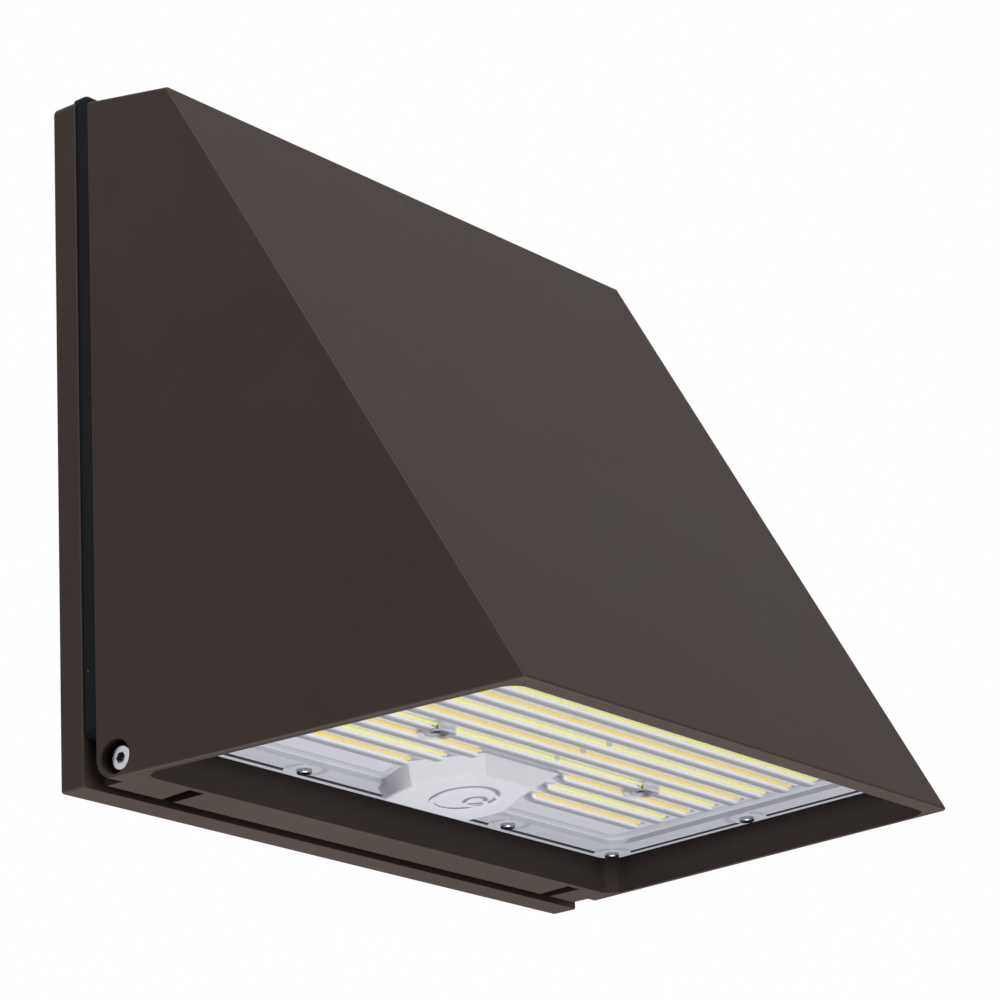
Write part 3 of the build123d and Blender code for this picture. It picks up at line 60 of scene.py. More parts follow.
# Places on the lens, in plan
RIB_EDGE = (4.8 * MM, 5.2 * MM)
ROW_REACH = 6 * MM
# where the painted image of the LEDs ends, and where it pales between packages
PAINTED_LED_END_MARGIN = 3 * MM
PAINTED_LED_GAP = (1.8 * MM, 2.6 * MM)
# band of painted shade round each lens screw boss
BOSS_SHADE_WIDTH = 3 * MM
BOSS_SHADE_INSET = 7 * MM
RECESS_REAR_REACH = 2 * MM
LENS_SCREW_REACH = 8 * MM

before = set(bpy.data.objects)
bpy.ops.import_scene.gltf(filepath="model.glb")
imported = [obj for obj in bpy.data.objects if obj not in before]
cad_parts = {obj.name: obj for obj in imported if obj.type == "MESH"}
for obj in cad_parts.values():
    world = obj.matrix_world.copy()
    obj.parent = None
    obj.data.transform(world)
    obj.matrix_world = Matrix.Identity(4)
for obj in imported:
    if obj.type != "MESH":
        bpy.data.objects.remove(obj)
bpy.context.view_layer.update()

housing_low, housing_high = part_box("front_housing")
lens_low, lens_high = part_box("lens")
window_low, window_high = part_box("sensor_window")
rim_z = housing_low.z
recess_y = (lens_low.y + lens_high.y) / 2


# ---------------------------------------------------------------- values a user may change


def shade(name, description, red, green, blue):
    """A colour property, kept as the display value."""
    return FloatVectorProperty(
        name=name,
        description=description,
        default=(red / 255, green / 255, blue / 255),
        size=3,
        min=0,
        max=1,
        subtype="COLOR_GAMMA",
    )


def span(name, description, millimetres):
    """A length property whose default is given in millimetres."""
    return FloatProperty(
        name=name,
        description=description,
        default=millimetres * MM,
        min=0,
        precision=5,
        unit="LENGTH",
        subtype="DISTANCE",
    )


def share(name, description, value):
    """A property between nothing and all."""
    return FloatProperty(
        name=name, description=description, default=value, min=0, max=1, subtype="FACTOR"
    )


def turn(name, description, degrees):
    """An angle property whose default is given in degrees."""
    return FloatProperty(
        name=name,
        description=description,
        default=float(np.radians(degrees)),
        unit="ROTATION",
        subtype="ANGLE",
    )


def watts(name, description, value):
    """The power of a lamp."""
    return FloatProperty(
        name=name, description=description, default=value, min=0, unit="POWER", subtype="POWER"
    )


class WallPackColours(PropertyGroup):
    """Colours of the light's own materials."""

    bronze: shade("Bronze", "Powder coat on the housing and the back plate", 80, 70, 66)
    rubber: shade("Rubber", "Seals", 16, 17, 22)
    foam: shade("Foam", "Pad against the wall", 52, 52, 54)
    clear: shade("Clear plastic", "Tint of the lens where it hides what lies behind it", 206, 207, 217)
    milky: shade("Milky plastic", "Diffusing window over the sensor", 222, 222, 229)
    mask: shade("Solder mask", "White face of the LED board", 216, 216, 224)
    cool: shade("Cool phosphor", "Greenish yellow LEDs", 255, 250, 150)
    warm: shade("Warm phosphor", "Orange yellow LEDs", 255, 229, 122)
    white_plastic: shade("White plastic", "Sensor, connectors, knobs and terminals", 224, 223, 219)
    black_plastic: shade("Black plastic", "Bushing, grommet and switch frames", 30, 30, 32)
    nylon: shade("Nylon", "Hinge washers", 214, 211, 198)
    steel: shade("Steel", "Bright screws", 196, 196, 200)
    chrome: shade("Plated steel", "Screws that hold the lens", 222, 223, 228)
    zinc: shade("Zinc", "Sheet steel case of the driver", 176, 178, 182)
    brass: shade("Brass", "Clamping screws of the terminals", 200, 160, 84)
    green: shade("Green screw", "Earth screws", 40, 118, 58)
    red_lead: shade("Red lead", "Positive LED lead", 172, 28, 26)
    black_lead: shade("Black lead", "Negative LED lead and line lead", 28, 28, 30)
    white_lead: shade("White lead", "Neutral lead", 220, 219, 214)
    green_lead: shade("Green lead", "Earth lead", 34, 116, 48)
    grey_lead: shade("Grey lead", "Cable of the sensor", 104, 104, 108)
    sensor_eye: shade("Sensor eye", "Small dark lens of the sensor", 40, 40, 48)
    floor: shade("Floor", "Studio floor", 236, 236, 236)


class WallPackSizes(PropertyGroup):
    """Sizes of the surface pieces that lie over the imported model."""

    led_pitch: span("LED pitch", "Spacing of the packages along a row", 5.3)
    row_pitch: span("Row pitch", "Spacing of the LED rows", 15.2)
    rib_half_length: span("Rib half length", "From the middle of the lens to a rib's end", 134.5)
    seal_inset: span("Seal inset", "From the lens's edge to the middle of its black seal", 4.7)
    seal_width: span("Seal width", "Width of the strip where the seal shows", 3.2)
    boss_reach: span("Boss reach", "From a lens screw to where its boss ends", 10)
    dome_length: span("Dome length", "Phosphor dome along the row", 5.0)
    dome_width: span("Dome width", "Phosphor dome across the row", 7.0)
    dome_rise: span("Dome rise", "How far a phosphor dome stands out of its package", 0.75)
    dome_sink: span("Dome sink", "How far a dome's foot lies in its package", 0.05)
    dome_sides: IntProperty(
        name="Dome sides", description="Corners round one dome", default=8, min=6, max=24
    )
    ring_radius: span("Ring radius", "Large moulded ring on the window", 16.0)
    eye_ring_radius: span("Eye ring radius", "Small moulded ring on the window", 5.0)
    ring_width: span("Ring width", "Width of a moulded ring", 2.4)
    ring_rise: span("Ring rise", "Height of a moulded ring over the window's face", 0.1)
    ring_sink: span("Ring sink", "How deep the back of a ring lies in the window", 0.04)
    eye_shift: span("Eye shift", "How far the small ring lies to the right", 8.0)
    sensor_depth: span("Sensor depth", "Distance of the rings' centre from the wall", 88.0)


class WallPackStudio(PropertyGroup):
    """Camera, lamps and floor."""

    azimuth: turn("Azimuth", "Direction that the camera looks from", -52.354686)
    elevation: turn("Elevation", "Height angle of the camera", -19.345231)
    roll: turn("Roll", "Turn of the camera about its own axis", -2.959942)
    distance: span("Distance", "From the aim point to the camera", 5.115373 * 360)
    aim_right: span("Aim right", "Shift of the aim point to the right in the picture", 0.0226418 * 360)
    aim_up: span("Aim up", "Shift of the aim point up in the picture", 0.0768955 * 360)
    lens_length: FloatProperty(
        name="Focal length", description="In millimetres, on a 36 mm wide sensor", default=137.89
    )
    under_power: watts("Under lamp", "Softbox below", 17)
    top_power: watts("Top lamp", "Softbox above, in front at the left", 13)
    left_power: watts("Left lamp", "Softbox above at the left", 12)
    right_power: watts("Right lamp", "Softbox in front at the right", 3)
    room_level: share("Room level", "Light of the white room on the object", 0.17)
    floor_height: FloatProperty(
        name="Floor height",
        description="Height of the floor, below the light",
        default=-1.6,
        unit="LENGTH",
        subtype="DISTANCE",
    )
    floor_reach: span("Floor reach", "Radius of the floor", 14000)


# ---------------------------------------------------------------- shader arithmetic


def linear(colour):
    """Display colour to the linear colour that a shader takes, with full opacity."""
    values = np.asarray(colour, float)
    low = values / 12.92
    high = ((values + 0.055) / 1.055) ** 2.4
    return (*np.where(values <= 0.04045, low, high).tolist(), 1.0)


class Wire:
    """One output socket, so that numbers that vary over a surface can be written as arithmetic."""

    def __init__(self, bench, socket):
        self.bench = bench
        self.socket = socket

    def _with(self, operation, first, second=None):
        inputs = {0: first}
        if second is not None:
            inputs[1] = second
        return self.bench.node("ShaderNodeMath", {"operation": operation}, inputs)

    def __add__(self, other):
        return self._with("ADD", self, other)

    __radd__ = __add__

    def __sub__(self, other):
        return self._with("SUBTRACT", self, other)

    def __rsub__(self, other):
        return self._with("SUBTRACT", other, self)

    def __mul__(self, other):
        return self._with("MULTIPLY", self, other)

    __rmul__ = __mul__

    def __truediv__(self, other):
        return self._with("DIVIDE", self, other)

    def __rtruediv__(self, other):
        return self._with("DIVIDE", other, self)

    def __pow__(self, other):
        return self._with("POWER", self, other)

    def __rpow__(self, other):
        return self._with("POWER", other, self)

    def __gt__(self, other):
        return self._with("GREATER_THAN", self, other)

    def __lt__(self, other):
        return self._with("LESS_THAN", self, other)

    def __abs__(self):
        return self._with("ABSOLUTE", self)

    def larger(self, other):
        """The larger of the two at each point."""
        return self._with("MAXIMUM", self, other)

    def smaller(self, other):
        """The smaller of the two at each point."""
        return self._with("MINIMUM", self, other)

    def cell(self, period):
        """Number of the cell that a point is in, with a cell's centre at nought."""
        return self._with("ROUND", self / period)

    def from_cell(self, period):
        """Distance from the centre of the point's own cell."""
        return abs(self - self.cell(period) * period)

    def ramp(self, start, end):
        """Nought below start, one above end and smooth between them."""
        return self.bench.node(
            "ShaderNodeMapRange",
            {"interpolation_type": "SMOOTHSTEP"},
            {"Value": self, "From Min": start, "From Max": end},
        )


class Bench:
    """A node tree under construction."""

    def __init__(self, tree):
        self.tree = tree
        tree.nodes.clear()

    def node(self, kind, settings=None, sockets=None, out=0):
        """Adds a node, with its settings, then its sockets' values or links. Returns one output."""
        made = self.tree.nodes.new(kind)
        for name, value in (settings or {}).items():
            setattr(made, name, value)
        for name, value in (sockets or {}).items():
            if isinstance(value, Wire):
                self.tree.links.new(value.socket, made.inputs[name])
            else:
                made.inputs[name].default_value = value
        return Wire(self, made.outputs[out]) if len(made.outputs) else None

    def place(self):
        """The point on the piece, in metres, as a vector."""
        return self.node("ShaderNodeTexCoord", out="Object")

    def axes(self):
        """The point's three coordinates, one by one."""
        split = self.node("ShaderNodeSeparateXYZ", None, {0: self.place()})
        outputs = split.socket.node.outputs
        return tuple(Wire(self, output) for output in outputs)

    def noise(self, size, detail=2.0, stretch=(1, 1, 1), distortion=0.0):
        """Soft noise whose blotches are about `size` metres, drawn out by `stretch`."""
        squeezed = tuple(1 / part for part in stretch)
        vector = self.node("ShaderNodeMapping", None, {"Vector": self.place(), "Scale": squeezed})
        return self.node(
            "ShaderNodeTexNoise",
            None,
            {"Vector": vector, "Scale": 1 / size, "Detail": detail, "Distortion": distortion},
            out="Fac",
        )

    def cells(self, size, feature="F1", out="Distance", stretch=(1, 1, 1)):
        """Cellular pattern whose cells are about `size` metres."""
        squeezed = tuple(1 / part for part in stretch)
        vector = self.node("ShaderNodeMapping", None, {"Vector": self.place(), "Scale": squeezed})
        return self.node(
            "ShaderNodeTexVoronoi", {"feature": feature}, {"Vector": vector, "Scale": 1 / size}, out=out
        )

    def chance(self, *parts):
        """A random number for each set of whole numbers."""
        joined = self.node("ShaderNodeCombineXYZ", None, dict(enumerate(parts)))
        return self.node("ShaderNodeTexWhiteNoise", None, {"Vector": joined}, out="Value")

    def facing(self):
        """The direction that the piece faces at this point, in the piece's own frame."""
        return self.node("ShaderNodeTexCoord", out="Normal")

    def part(self, vector, axis):
        """One coordinate of a vector."""
        split = self.node("ShaderNodeSeparateXYZ", None, {0: vector})
        return Wire(self, split.socket.node.outputs[axis])

    def mix(self, factor, first, second):
        """Colour that goes from the first to the second as the factor goes from nought to one."""
        return self.node("ShaderNodeMix", {"data_type": "RGBA"}, {0: factor, 6: first, 7: second}, out=2)

    def crevice_shade(self, reach):
        """Share of painted shade: one deep in gaps narrower than `reach`, nought in the open."""
        open_sky = self.node("ShaderNodeAmbientOcclusion", {"samples": 8}, {"Distance": reach}, out="AO")
        return 1 - open_sky.ramp(0.25, 0.9)

    def bump(self, height, depth, strength=1.0):
        """A normal turned by a height between nought and one, whose full depth is in metres."""
        return self.node(
            "ShaderNodeBump", None, {"Height": height, "Strength": strength, "Distance": depth}
        )


class Finish(Bench):
    """A material under construction."""

    def __init__(self, name):
        self.material = bpy.data.materials.new(name)
        self.material.use_nodes = True
        super().__init__(self.material.node_tree)

    def coat(self, **sockets):
        """Ends the tree with one plastic, paint or metal shader, and returns the material."""
        names = {key: key.replace("_", " ") for key in sockets}
        names.update(Specular="Specular IOR Level")
        shader = self.node(
            "ShaderNodeBsdfPrincipled", None, {names[key]: value for key, value in sockets.items()}
        )
        self.node("ShaderNodeOutputMaterial", None, {"Surface": shader})
        return self.material


def tone(colour, factor):
    """A linear colour made lighter or darker, kept below white."""
    return (*(min(1.0, part * factor) for part in colour[:3]), 1.0)


# ---------------------------------------------------------------- materials


def powder_coat(name, display, faces, edge_highlight, gap):
    """Powder coat: orange peel, slow drift of tone, faint rubbed streaks and a few pale nibs.

    A painted highlight lies on the casting's edges, where the normal is none of its flat faces';
    painted shade lies on the walls of the lens recess and, from an ambient occlusion node, in gaps.
    """
    finish = Finish(name)
    colour = linear(display)
    drift = finish.noise(0.11, 3.0).ramp(0.3, 0.7)
    peel = finish.noise(1.5 * MM, 2.0)
    grain = finish.noise(0.45 * MM, 1.0)
    rubbed = finish.noise(9 * MM, 5.0, stretch=(1, 1, 9), distortion=1.5).ramp(0.66, 0.8)
    nib = 1 - finish.cells(21 * MM).ramp(0.008, 0.02)
    normal = finish.facing()
    flatness = 0.0
    for face in faces:
        lined_up = finish.node(
            "ShaderNodeVectorMath", {"operation": "DOT_PRODUCT"}, {0: normal, 1: face}, out="Value"
        )
        flatness = abs(lined_up).larger(flatness)
    edge = 1 - flatness.ramp(0.84, 0.95)
    across, along, height = finish.axes()
    outward = across * finish.part(normal, "X") + (along - recess_y) * finish.part(normal, "Y")
    # painted shade: walls that face into the lens recess, below its top, are darkened
    recess_shade = (outward < 0) * (height - rim_z < RECESS_TOP) * (along < lens_high.y + RECESS_REAR_REACH)
    base = finish.mix(drift, tone(colour, 0.93), tone(colour, 1.07))
    # painted highlight: the coat is made paler along the casting's edges
    base = finish.mix(edge * (0.7 + peel * 0.6), base, tone(colour, edge_highlight))
    base = finish.mix(recess_shade * 0.5, base, tone(colour, 0.4))
    base = finish.mix(rubbed * 0.2, base, tone(colour, 1.3))
    base = finish.mix(nib * 0.6, base, tone(colour, 2.4))
    # painted shade: gaps found by the ambient occlusion node go nearly black
    base = finish.mix(finish.crevice_shade(gap) * 0.92, base, tone(colour, 0.08))
    return finish.coat(
        Base_Color=base,
        Roughness=0.5 + grain * 0.1 + drift * 0.05 - rubbed * 0.06 - edge * 0.12,
        Specular=0.06,
        Normal=finish.bump(peel * 0.8 + grain * 0.2 + nib, 0.05 * MM, 0.6),
    )


def front_normal(node):
    """Direction that the node's sloping front faces: the mean, by area, of its leaning faces."""
    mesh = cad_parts[node].data
    normals = np.empty(len(mesh.polygons) * 3, np.float32)
    areas = np.empty(len(mesh.polygons), np.float32)
    mesh.polygons.foreach_get("normal", normals)
    mesh.polygons.foreach_get("area", areas)
    normals = normals.reshape(-1, 3)
    leaning = (np.abs(normals[:, 0]) < 0.01) & (normals[:, 1] < -0.6) & (normals[:, 2] > 0.3)
    mean = (normals[leaning] * areas[leaning, None]).sum(axis=0)
    return tuple((mean / np.linalg.norm(mean)).tolist())


def moulded(name, display, gloss=0.4, grain_size=0.35 * MM, sheen=0.45):
    """Injection moulded plastic: spark texture, soft blotches of gloss and a little dust."""
    finish = Finish(name)
    colour = linear(display)
    grain = finish.noise(grain_size, 2.0)
    cloud = finish.noise(14 * MM, 3.0)
    dust = finish.noise(3.2 * MM, 5.0).ramp(0.6, 0.78)
    base = finish.mix(cloud, tone(colour, 0.94), tone(colour, 1.05))
    base = finish.mix(dust * 0.12, base, (0.5, 0.48, 0.45, 1.0))
    return finish.coat(
        Base_Color=base,
        Roughness=gloss + grain * 0.12 + dust * 0.15,
        Specular=sheen,
        Normal=finish.bump(grain, 0.03 * MM, 0.7),
    )


def rubber(name, display):
    """Silicone rubber: matte, with mould flow lines and tiny pale specks of dust that cling to it."""
    finish = Finish(name)
    colour = linear(display)
    flow = finish.noise(2.4 * MM, 3.0, stretch=(1, 1, 4))
    grain = finish.noise(0.5 * MM, 2.0)
    speck = 1 - finish.cells(6.5 * MM).ramp(0.035, 0.06)
    bloom = finish.noise(18 * MM, 4.0).ramp(0.45, 0.8)
    base = finish.mix(bloom, colour, tone(colour, 1.7))
    base = finish.mix(speck * 0.85, base, (0.42, 0.44, 0.48, 1.0))
    return finish.coat(
        Base_Color=base,
        Roughness=0.5 + grain * 0.2 + bloom * 0.1,
        Specular=0.12,
        Normal=finish.bump(flow * 0.6 + grain * 0.4 + speck, 0.06 * MM, 0.6),
    )


def closed_cell_foam(name, display):
    """Closed cell foam: skin broken by small round pores of two sizes."""
    finish = Finish(name)
    colour = linear(display)
    coarse = finish.cells(1.6 * MM).ramp(0.1, 0.5)
    fine = finish.cells(0.7 * MM).ramp(0.1, 0.5)
    pores = coarse * 0.6 + fine * 0.4
    cloud = finish.noise(20 * MM, 3.0)
    base = finish.mix(pores, tone(colour, 0.35), tone(colour, 1.15))
    base = finish.mix(cloud * 0.3, base, tone(colour, 1.5))
    return finish.coat(
        Base_Color=base,
        Roughness=0.8 + pores * 0.15,
        Specular=0.2,
        Normal=finish.bump(pores, 0.25 * MM, 0.9),
    )


def brushed_metal(name, display, polish, stretch=(1, 6, 1), depth=0.015 * MM):
    """Bare or plated metal: fine tool marks drawn out one way, small pits and finger marks."""
    finish = Finish(name)
    colour = linear(display)
    marks = finish.noise(0.25 * MM, 3.0, stretch=stretch)
    pits = 1 - finish.cells(1.3 * MM).ramp(0.05, 0.12)
    touch = finish.noise(5 * MM, 4.0).ramp(0.4, 0.75)
    base = finish.mix(marks, tone(colour, 0.86), tone(colour, 1.06))
    base = finish.mix(pits * 0.5, base, tone(colour, 0.4))
    # painted shade: gaps and sockets found by the ambient occlusion node go nearly black
    base = finish.mix(finish.crevice_shade(4 * MM) * 0.9, base, tone(colour, 0.05))
    return finish.coat(
        Base_Color=base,
        Metallic=1.0,
        Roughness=polish + marks * 0.08 + touch * 0.1,
        Normal=finish.bump(marks - pits, depth, 0.6),
    )


def spangled_zinc(name, display):
    """Zinc coated sheet: crystal spangle, faint rolling lines and dull patches."""
    finish = Finish(name)
    colour = linear(display)
    tint = finish.cells(7 * MM, out="Color")
    crystal = finish.node("ShaderNodeSeparateColor", None, {0: tint})
    rolled = finish.noise(0.4 * MM, 3.0, stretch=(18, 1, 1))
    dull = finish.noise(30 * MM, 4.0).ramp(0.35, 0.75)
    base = finish.mix(crystal, tone(colour, 0.78), tone(colour, 1.1))
    base = finish.mix(dull * 0.35, base, tone(colour, 0.7))
    return finish.coat(
        Base_Color=base,
        Metallic=1.0,
        Roughness=0.3 + crystal * 0.12 + rolled * 0.08 + dull * 0.1,
        Normal=finish.bump(rolled, 0.02 * MM, 0.5),
    )


def green_passivated(name, display):
    """Green passivated steel: the dye is thin on high spots, where bright metal shows."""
    finish = Finish(name)
    colour = linear(display)
    worn = finish.noise(1.4 * MM, 4.0).ramp(0.62, 0.74)
    marks = finish.noise(0.3 * MM, 3.0, stretch=(1, 5, 1))
    base = finish.mix(marks, tone(colour, 0.8), tone(colour, 1.2))
    base = finish.mix(worn, base, (0.55, 0.56, 0.54, 1.0))
    return finish.coat(
        Base_Color=base,
        Metallic=0.55 + worn * 0.4,
        Roughness=0.32 + marks * 0.15,
        Normal=finish.bump(marks, 0.015 * MM, 0.6),
    )


def clear_plastic(name, display, leds, sizes, first_row):
    """Clear polycarbonate with moulding ripple: seen through where flat, painted light on steep sides.

    A rib bends the view like a rod of glass, and that is painted here: its front slope carries a
    painted image of the LEDs, enlarged, with a painted grey shade over them, and its crown a painted
    grey that grows to a painted highlight towards the front. The flange is pale but for a black line
    over the seal, which stops short of every screw boss, and a band of painted shade round each boss.
    """
    finish = Finish(name)
    colour = linear(display)
    normal = finish.facing()
    forward, upward = 0 - finish.part(normal, "Y"), finish.part(normal, "Z")
    flatness = abs(upward)
    across, along, height = finish.axes()
    level = height - rim_z
    on_rib = 1 - (along - first_row).from_cell(sizes.row_pitch).ramp(*RIB_EDGE)
    in_field = (level > FIELD_BOTTOM) * (level < SHEET_TOP)
    in_rows = (abs(across) < sizes.rib_half_length) * (along < first_row + ROW_REACH)
    rib = on_rib * in_field * in_rows
    outer = upward < 0.1
    crown = rib * outer * (1 - forward.ramp(0.6, 0.66))
    lit = abs(across) < sizes.rib_half_length - PAINTED_LED_END_MARGIN
    # painted refraction image of the LEDs on each rib's front slope
    painted_led_image = rib * outer * forward.ramp(0.7, 0.74) * lit
    # painted shade: grey over the most forward-facing part of each rib
    upper_painted_shade = rib * outer * forward.ramp(0.86, 0.9)
    warm_row = (along - first_row).from_cell(2 * sizes.row_pitch) < sizes.row_pitch / 2
    between = across.from_cell(sizes.led_pitch).ramp(*PAINTED_LED_GAP)
    flat = (flatness > 0.995) * outer * (1 - rib)
    sheet = flat * (level > SHEET_BOTTOM) * (level < SHEET_TOP)
    flange = flat * (level < FLANGE_TOP)
    steep = (1 - flatness).ramp(0.1, 0.6) * outer * (1 - rib)
    inset = lens_inset(across, along)
    boss = distance_to_screws(finish)
    slot = (abs(inset - sizes.seal_inset) < sizes.seal_width / 2) * (boss > sizes.boss_reach) * flange
    # painted shade: dark band on the flange round each screw boss
    boss_shade = (1 - abs(boss - sizes.boss_reach).ramp(0.0, BOSS_SHADE_WIDTH)) * (inset > BOSS_SHADE_INSET) * flange
    edge_on = finish.node("ShaderNodeLayerWeight", None, {"Blend": 0.4}, out="Facing")
    ripple = finish.noise(6 * MM, 2.0)
    haze = finish.noise(24 * MM, 4.0).ramp(0.4, 0.8)
    scratch = finish.noise(0.5 * MM, 2.0, stretch=(30, 2, 1)).ramp(0.68, 0.8)
    # painted light on the rib crowns: grey where they face back, a painted highlight where they face the
    # front
    lift = forward.ramp(0.2, 0.7).larger((0.15 - forward).ramp(0.0, 0.7) * 0.3)
    crown_painted_light = finish.mix(lift, tone(colour, 0.42), tone(colour, 1.5))
    # painted light on steep sides: paler where they face the front, darker where they face back
    wall_painted_light = finish.mix(forward.ramp(-0.5, 0.5), tone(colour, 0.8), tone(colour, 1.5))
    base = finish.mix(steep, colour, wall_painted_light)
    base = finish.mix(crown, base, crown_painted_light)
    # painted refraction image of the LEDs: cool and warm rows, paler between packages
    glow = finish.mix(warm_row, linear(leds[0]), linear(leds[1]))
    glow = finish.mix(between * 0.25, glow, tone(colour, 1.2))
    base = finish.mix(painted_led_image, base, glow)
    base = finish.mix(upper_painted_shade, base, tone(colour, 0.72))
    base = finish.mix(boss_shade * 0.45, base, tone(colour, 0.4))
    base = finish.mix(slot, base, tone(colour, 0.02))
    pale = (sheet * (0.45 + (1 - in_rows) * 0.25)).larger(flange * 0.78)
    cover = 0.04 + crown * 0.8 + painted_led_image * 0.75 + steep * 0.7 + pale + edge_on**3 * 0.06 + haze * 0.03
    return finish.coat(
        Base_Color=base,
        Alpha=(cover + scratch * 0.03).smaller(0.88),
        Roughness=0.06 + haze * 0.02 + scratch * 0.1 + flange * 0.2,
        IOR=1.585,
        Specular=0.2,
        Normal=finish.bump(ripple + scratch * 0.1, 0.08 * MM, 0.5),
    )


def lens_inset(across, along):
    """Distance of a point inside the lens's outline, whose sides draw together towards the front."""
    half_back, half_front, back, front = lens_half_widths()
    lean = (half_back - half_front) / (back - front)
    side = (half_back - abs(across) - (back - along) * lean) / float(np.hypot(1.0, lean))
    return side.smaller(back - along).smaller(along - front)


def lens_half_widths():
    """Half the lens's width at its back and at its front, with the places of both along Y."""
    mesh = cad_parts["lens"].data
    flat = np.empty(len(mesh.vertices) * 3, np.float32)
    mesh.vertices.foreach_get("co", flat)
    x, y, _z = flat.reshape(-1, 3).astype(float).T
    middle = (lens_low.y + lens_high.y) / 2
    rear = y > middle
    widest, lean = np.abs(x[rear]).max(), 0.0
    corner = y[rear][np.argmax(np.abs(x[rear]))]
    fore_widest = np.abs(x[~rear]).max()
    fore_corner = y[~rear][np.argmax(np.abs(x[~rear]))]
    if corner != fore_corner:
        lean = (widest - fore_widest) / (corner - fore_corner)
    half_back = widest + (lens_high.y - corner) * lean
    half_front = half_back - (lens_high.y - lens_low.y) * lean
    return float(half_back), float(half_front), lens_high.y, lens_low.y


def distance_to_screws(finish):
    """Distance in plan from the nearest screw round the lens."""
    place = finish.node(
        "ShaderNodeVectorMath", {"operation": "MULTIPLY"}, {0: finish.place(), 1: (1, 1, 0)}
    )
    nearest = 1.0
    for centre in plan_centres("lens_rim_screws", LENS_SCREW_REACH):
        away = finish.node(
            "ShaderNodeVectorMath", {"operation": "DISTANCE"}, {0: place, 1: (*centre, 0.0)}, out="Value"
        )
        nearest = away.smaller(nearest)
    return nearest


def plan_centres(node, reach):
    """Plan centres of a node's separate pieces, which lie further apart than `reach`."""
    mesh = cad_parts[node].data
    flat = np.empty(len(mesh.vertices) * 3, np.float32)
    mesh.vertices.foreach_get("co", flat)
    left = flat.reshape(-1, 3)[:, :2].astype(float)
    centres = []
    while len(left):
        near = np.hypot(*(left - left[0]).T) < reach
        low, high = left[near].min(axis=0), left[near].max(axis=0)
        centres.append(tuple(((low + high) / 2).tolist()))
        left = left[~near]
    return centres


def milky_plastic(name, display):
    """Diffusing polycarbonate: milky body that hides most of what lies behind it, with a fine satin."""
    finish = Finish(name)
    colour = linear(display)
    satin = finish.noise(0.4 * MM, 2.0)
    cloud = finish.noise(16 * MM, 3.0)
    edge_on = finish.node("ShaderNodeLayerWeight", None, {"Blend": 0.4}, out="Facing")
    base = finish.mix(cloud, tone(colour, 0.96), tone(colour, 1.04))
    return finish.coat(
        Base_Color=base,
        Alpha=(0.62 + edge_on * 0.3 + cloud * 0.05).smaller(1.0),
        Roughness=0.36 + satin * 0.12,
        Specular=0.5,
        Normal=finish.bump(satin, 0.02 * MM, 0.5),
    )


def printed_board(name, display, sizes, first_row):
    """White solder mask over copper: each row's copper stands a little proud, cut at every package."""
    finish = Finish(name)
    colour = linear(display)
    across, along, _height = finish.axes()
    off_row = (along - first_row).from_cell(sizes.row_pitch)
    off_cut = across.from_cell(sizes.led_pitch)
    copper = 1 - off_row.ramp(5.1 * MM, 5.4 * MM)
    groove = 1 - abs(off_row - 5.25 * MM).ramp(0.08 * MM, 0.3 * MM)
    cut = (1 - abs(off_cut - sizes.led_pitch / 2).ramp(0.1 * MM, 0.25 * MM)) * copper
    grain = finish.noise(0.5 * MM, 3.0)
    cloud = finish.noise(22 * MM, 3.0)
    base = finish.mix(cloud, tone(colour, 0.95), tone(colour, 1.04))
    base = finish.mix(copper * 0.35, base, tone(colour, 1.08))
    base = finish.mix((groove * 0.5).larger(cut * 0.35), base, tone(colour, 0.62))
    return finish.coat(
        Base_Color=base,
        Roughness=0.34 + grain * 0.12,
        Specular=0.45,
        Normal=finish.bump(copper * 0.7 - cut * 0.4 + grain * 0.1, 0.06 * MM, 0.7),
    )


def phosphor(name, display, sizes):
    """Phosphor in clear silicone: grainy, and a shade apart from one package to the next."""
    finish = Finish(name)
    colour = linear(display)
    across, along, _height = finish.axes()
    own = finish.chance(across.cell(sizes.led_pitch), along.cell(sizes.row_pitch))
    grain = finish.noise(0.3 * MM, 3.0)
    off_middle = across.from_cell(sizes.led_pitch)
    edge = off_middle.ramp(1.7 * MM, 2.5 * MM)
    base = finish.mix(own, tone(colour, 0.95), tone(colour, 1.08))
    base = finish.mix(grain * 0.3, base, tone(colour, 0.9))
    base = finish.mix(edge * 0.2, base, tone(colour, 0.85))
    return finish.coat(
        Base_Color=base,
        Roughness=0.28 + grain * 0.15,
        Specular=0.5,
        Normal=finish.bump(grain, 0.02 * MM, 0.6),
    )


def led_package(name, display, sizes):
    """LED package: yellow, paler by a random share from one package to the next, with a bright solder
    edge at its two ends.
    """
    finish = Finish(name)
    colour = linear(display)
    across, along, _height = finish.axes()
    off_middle = across.from_cell(sizes.led_pitch)
    solder = off_middle.ramp(2.25 * MM, 2.35 * MM)
    own = finish.chance(across.cell(sizes.led_pitch), along.cell(sizes.row_pitch))
    grain = finish.noise(0.4 * MM, 2.0)
    base = finish.mix(own * 0.5 + grain * 0.2, tone(colour, 1.05), (0.86, 0.85, 0.72, 1.0))
    base = finish.mix(solder, base, (0.62, 0.63, 0.65, 1.0))
    return finish.coat(
        Base_Color=base,
        Metallic=solder * 0.8,
        Roughness=0.38 + grain * 0.12,
        Normal=finish.bump(grain, 0.02 * MM, 0.5),
    )


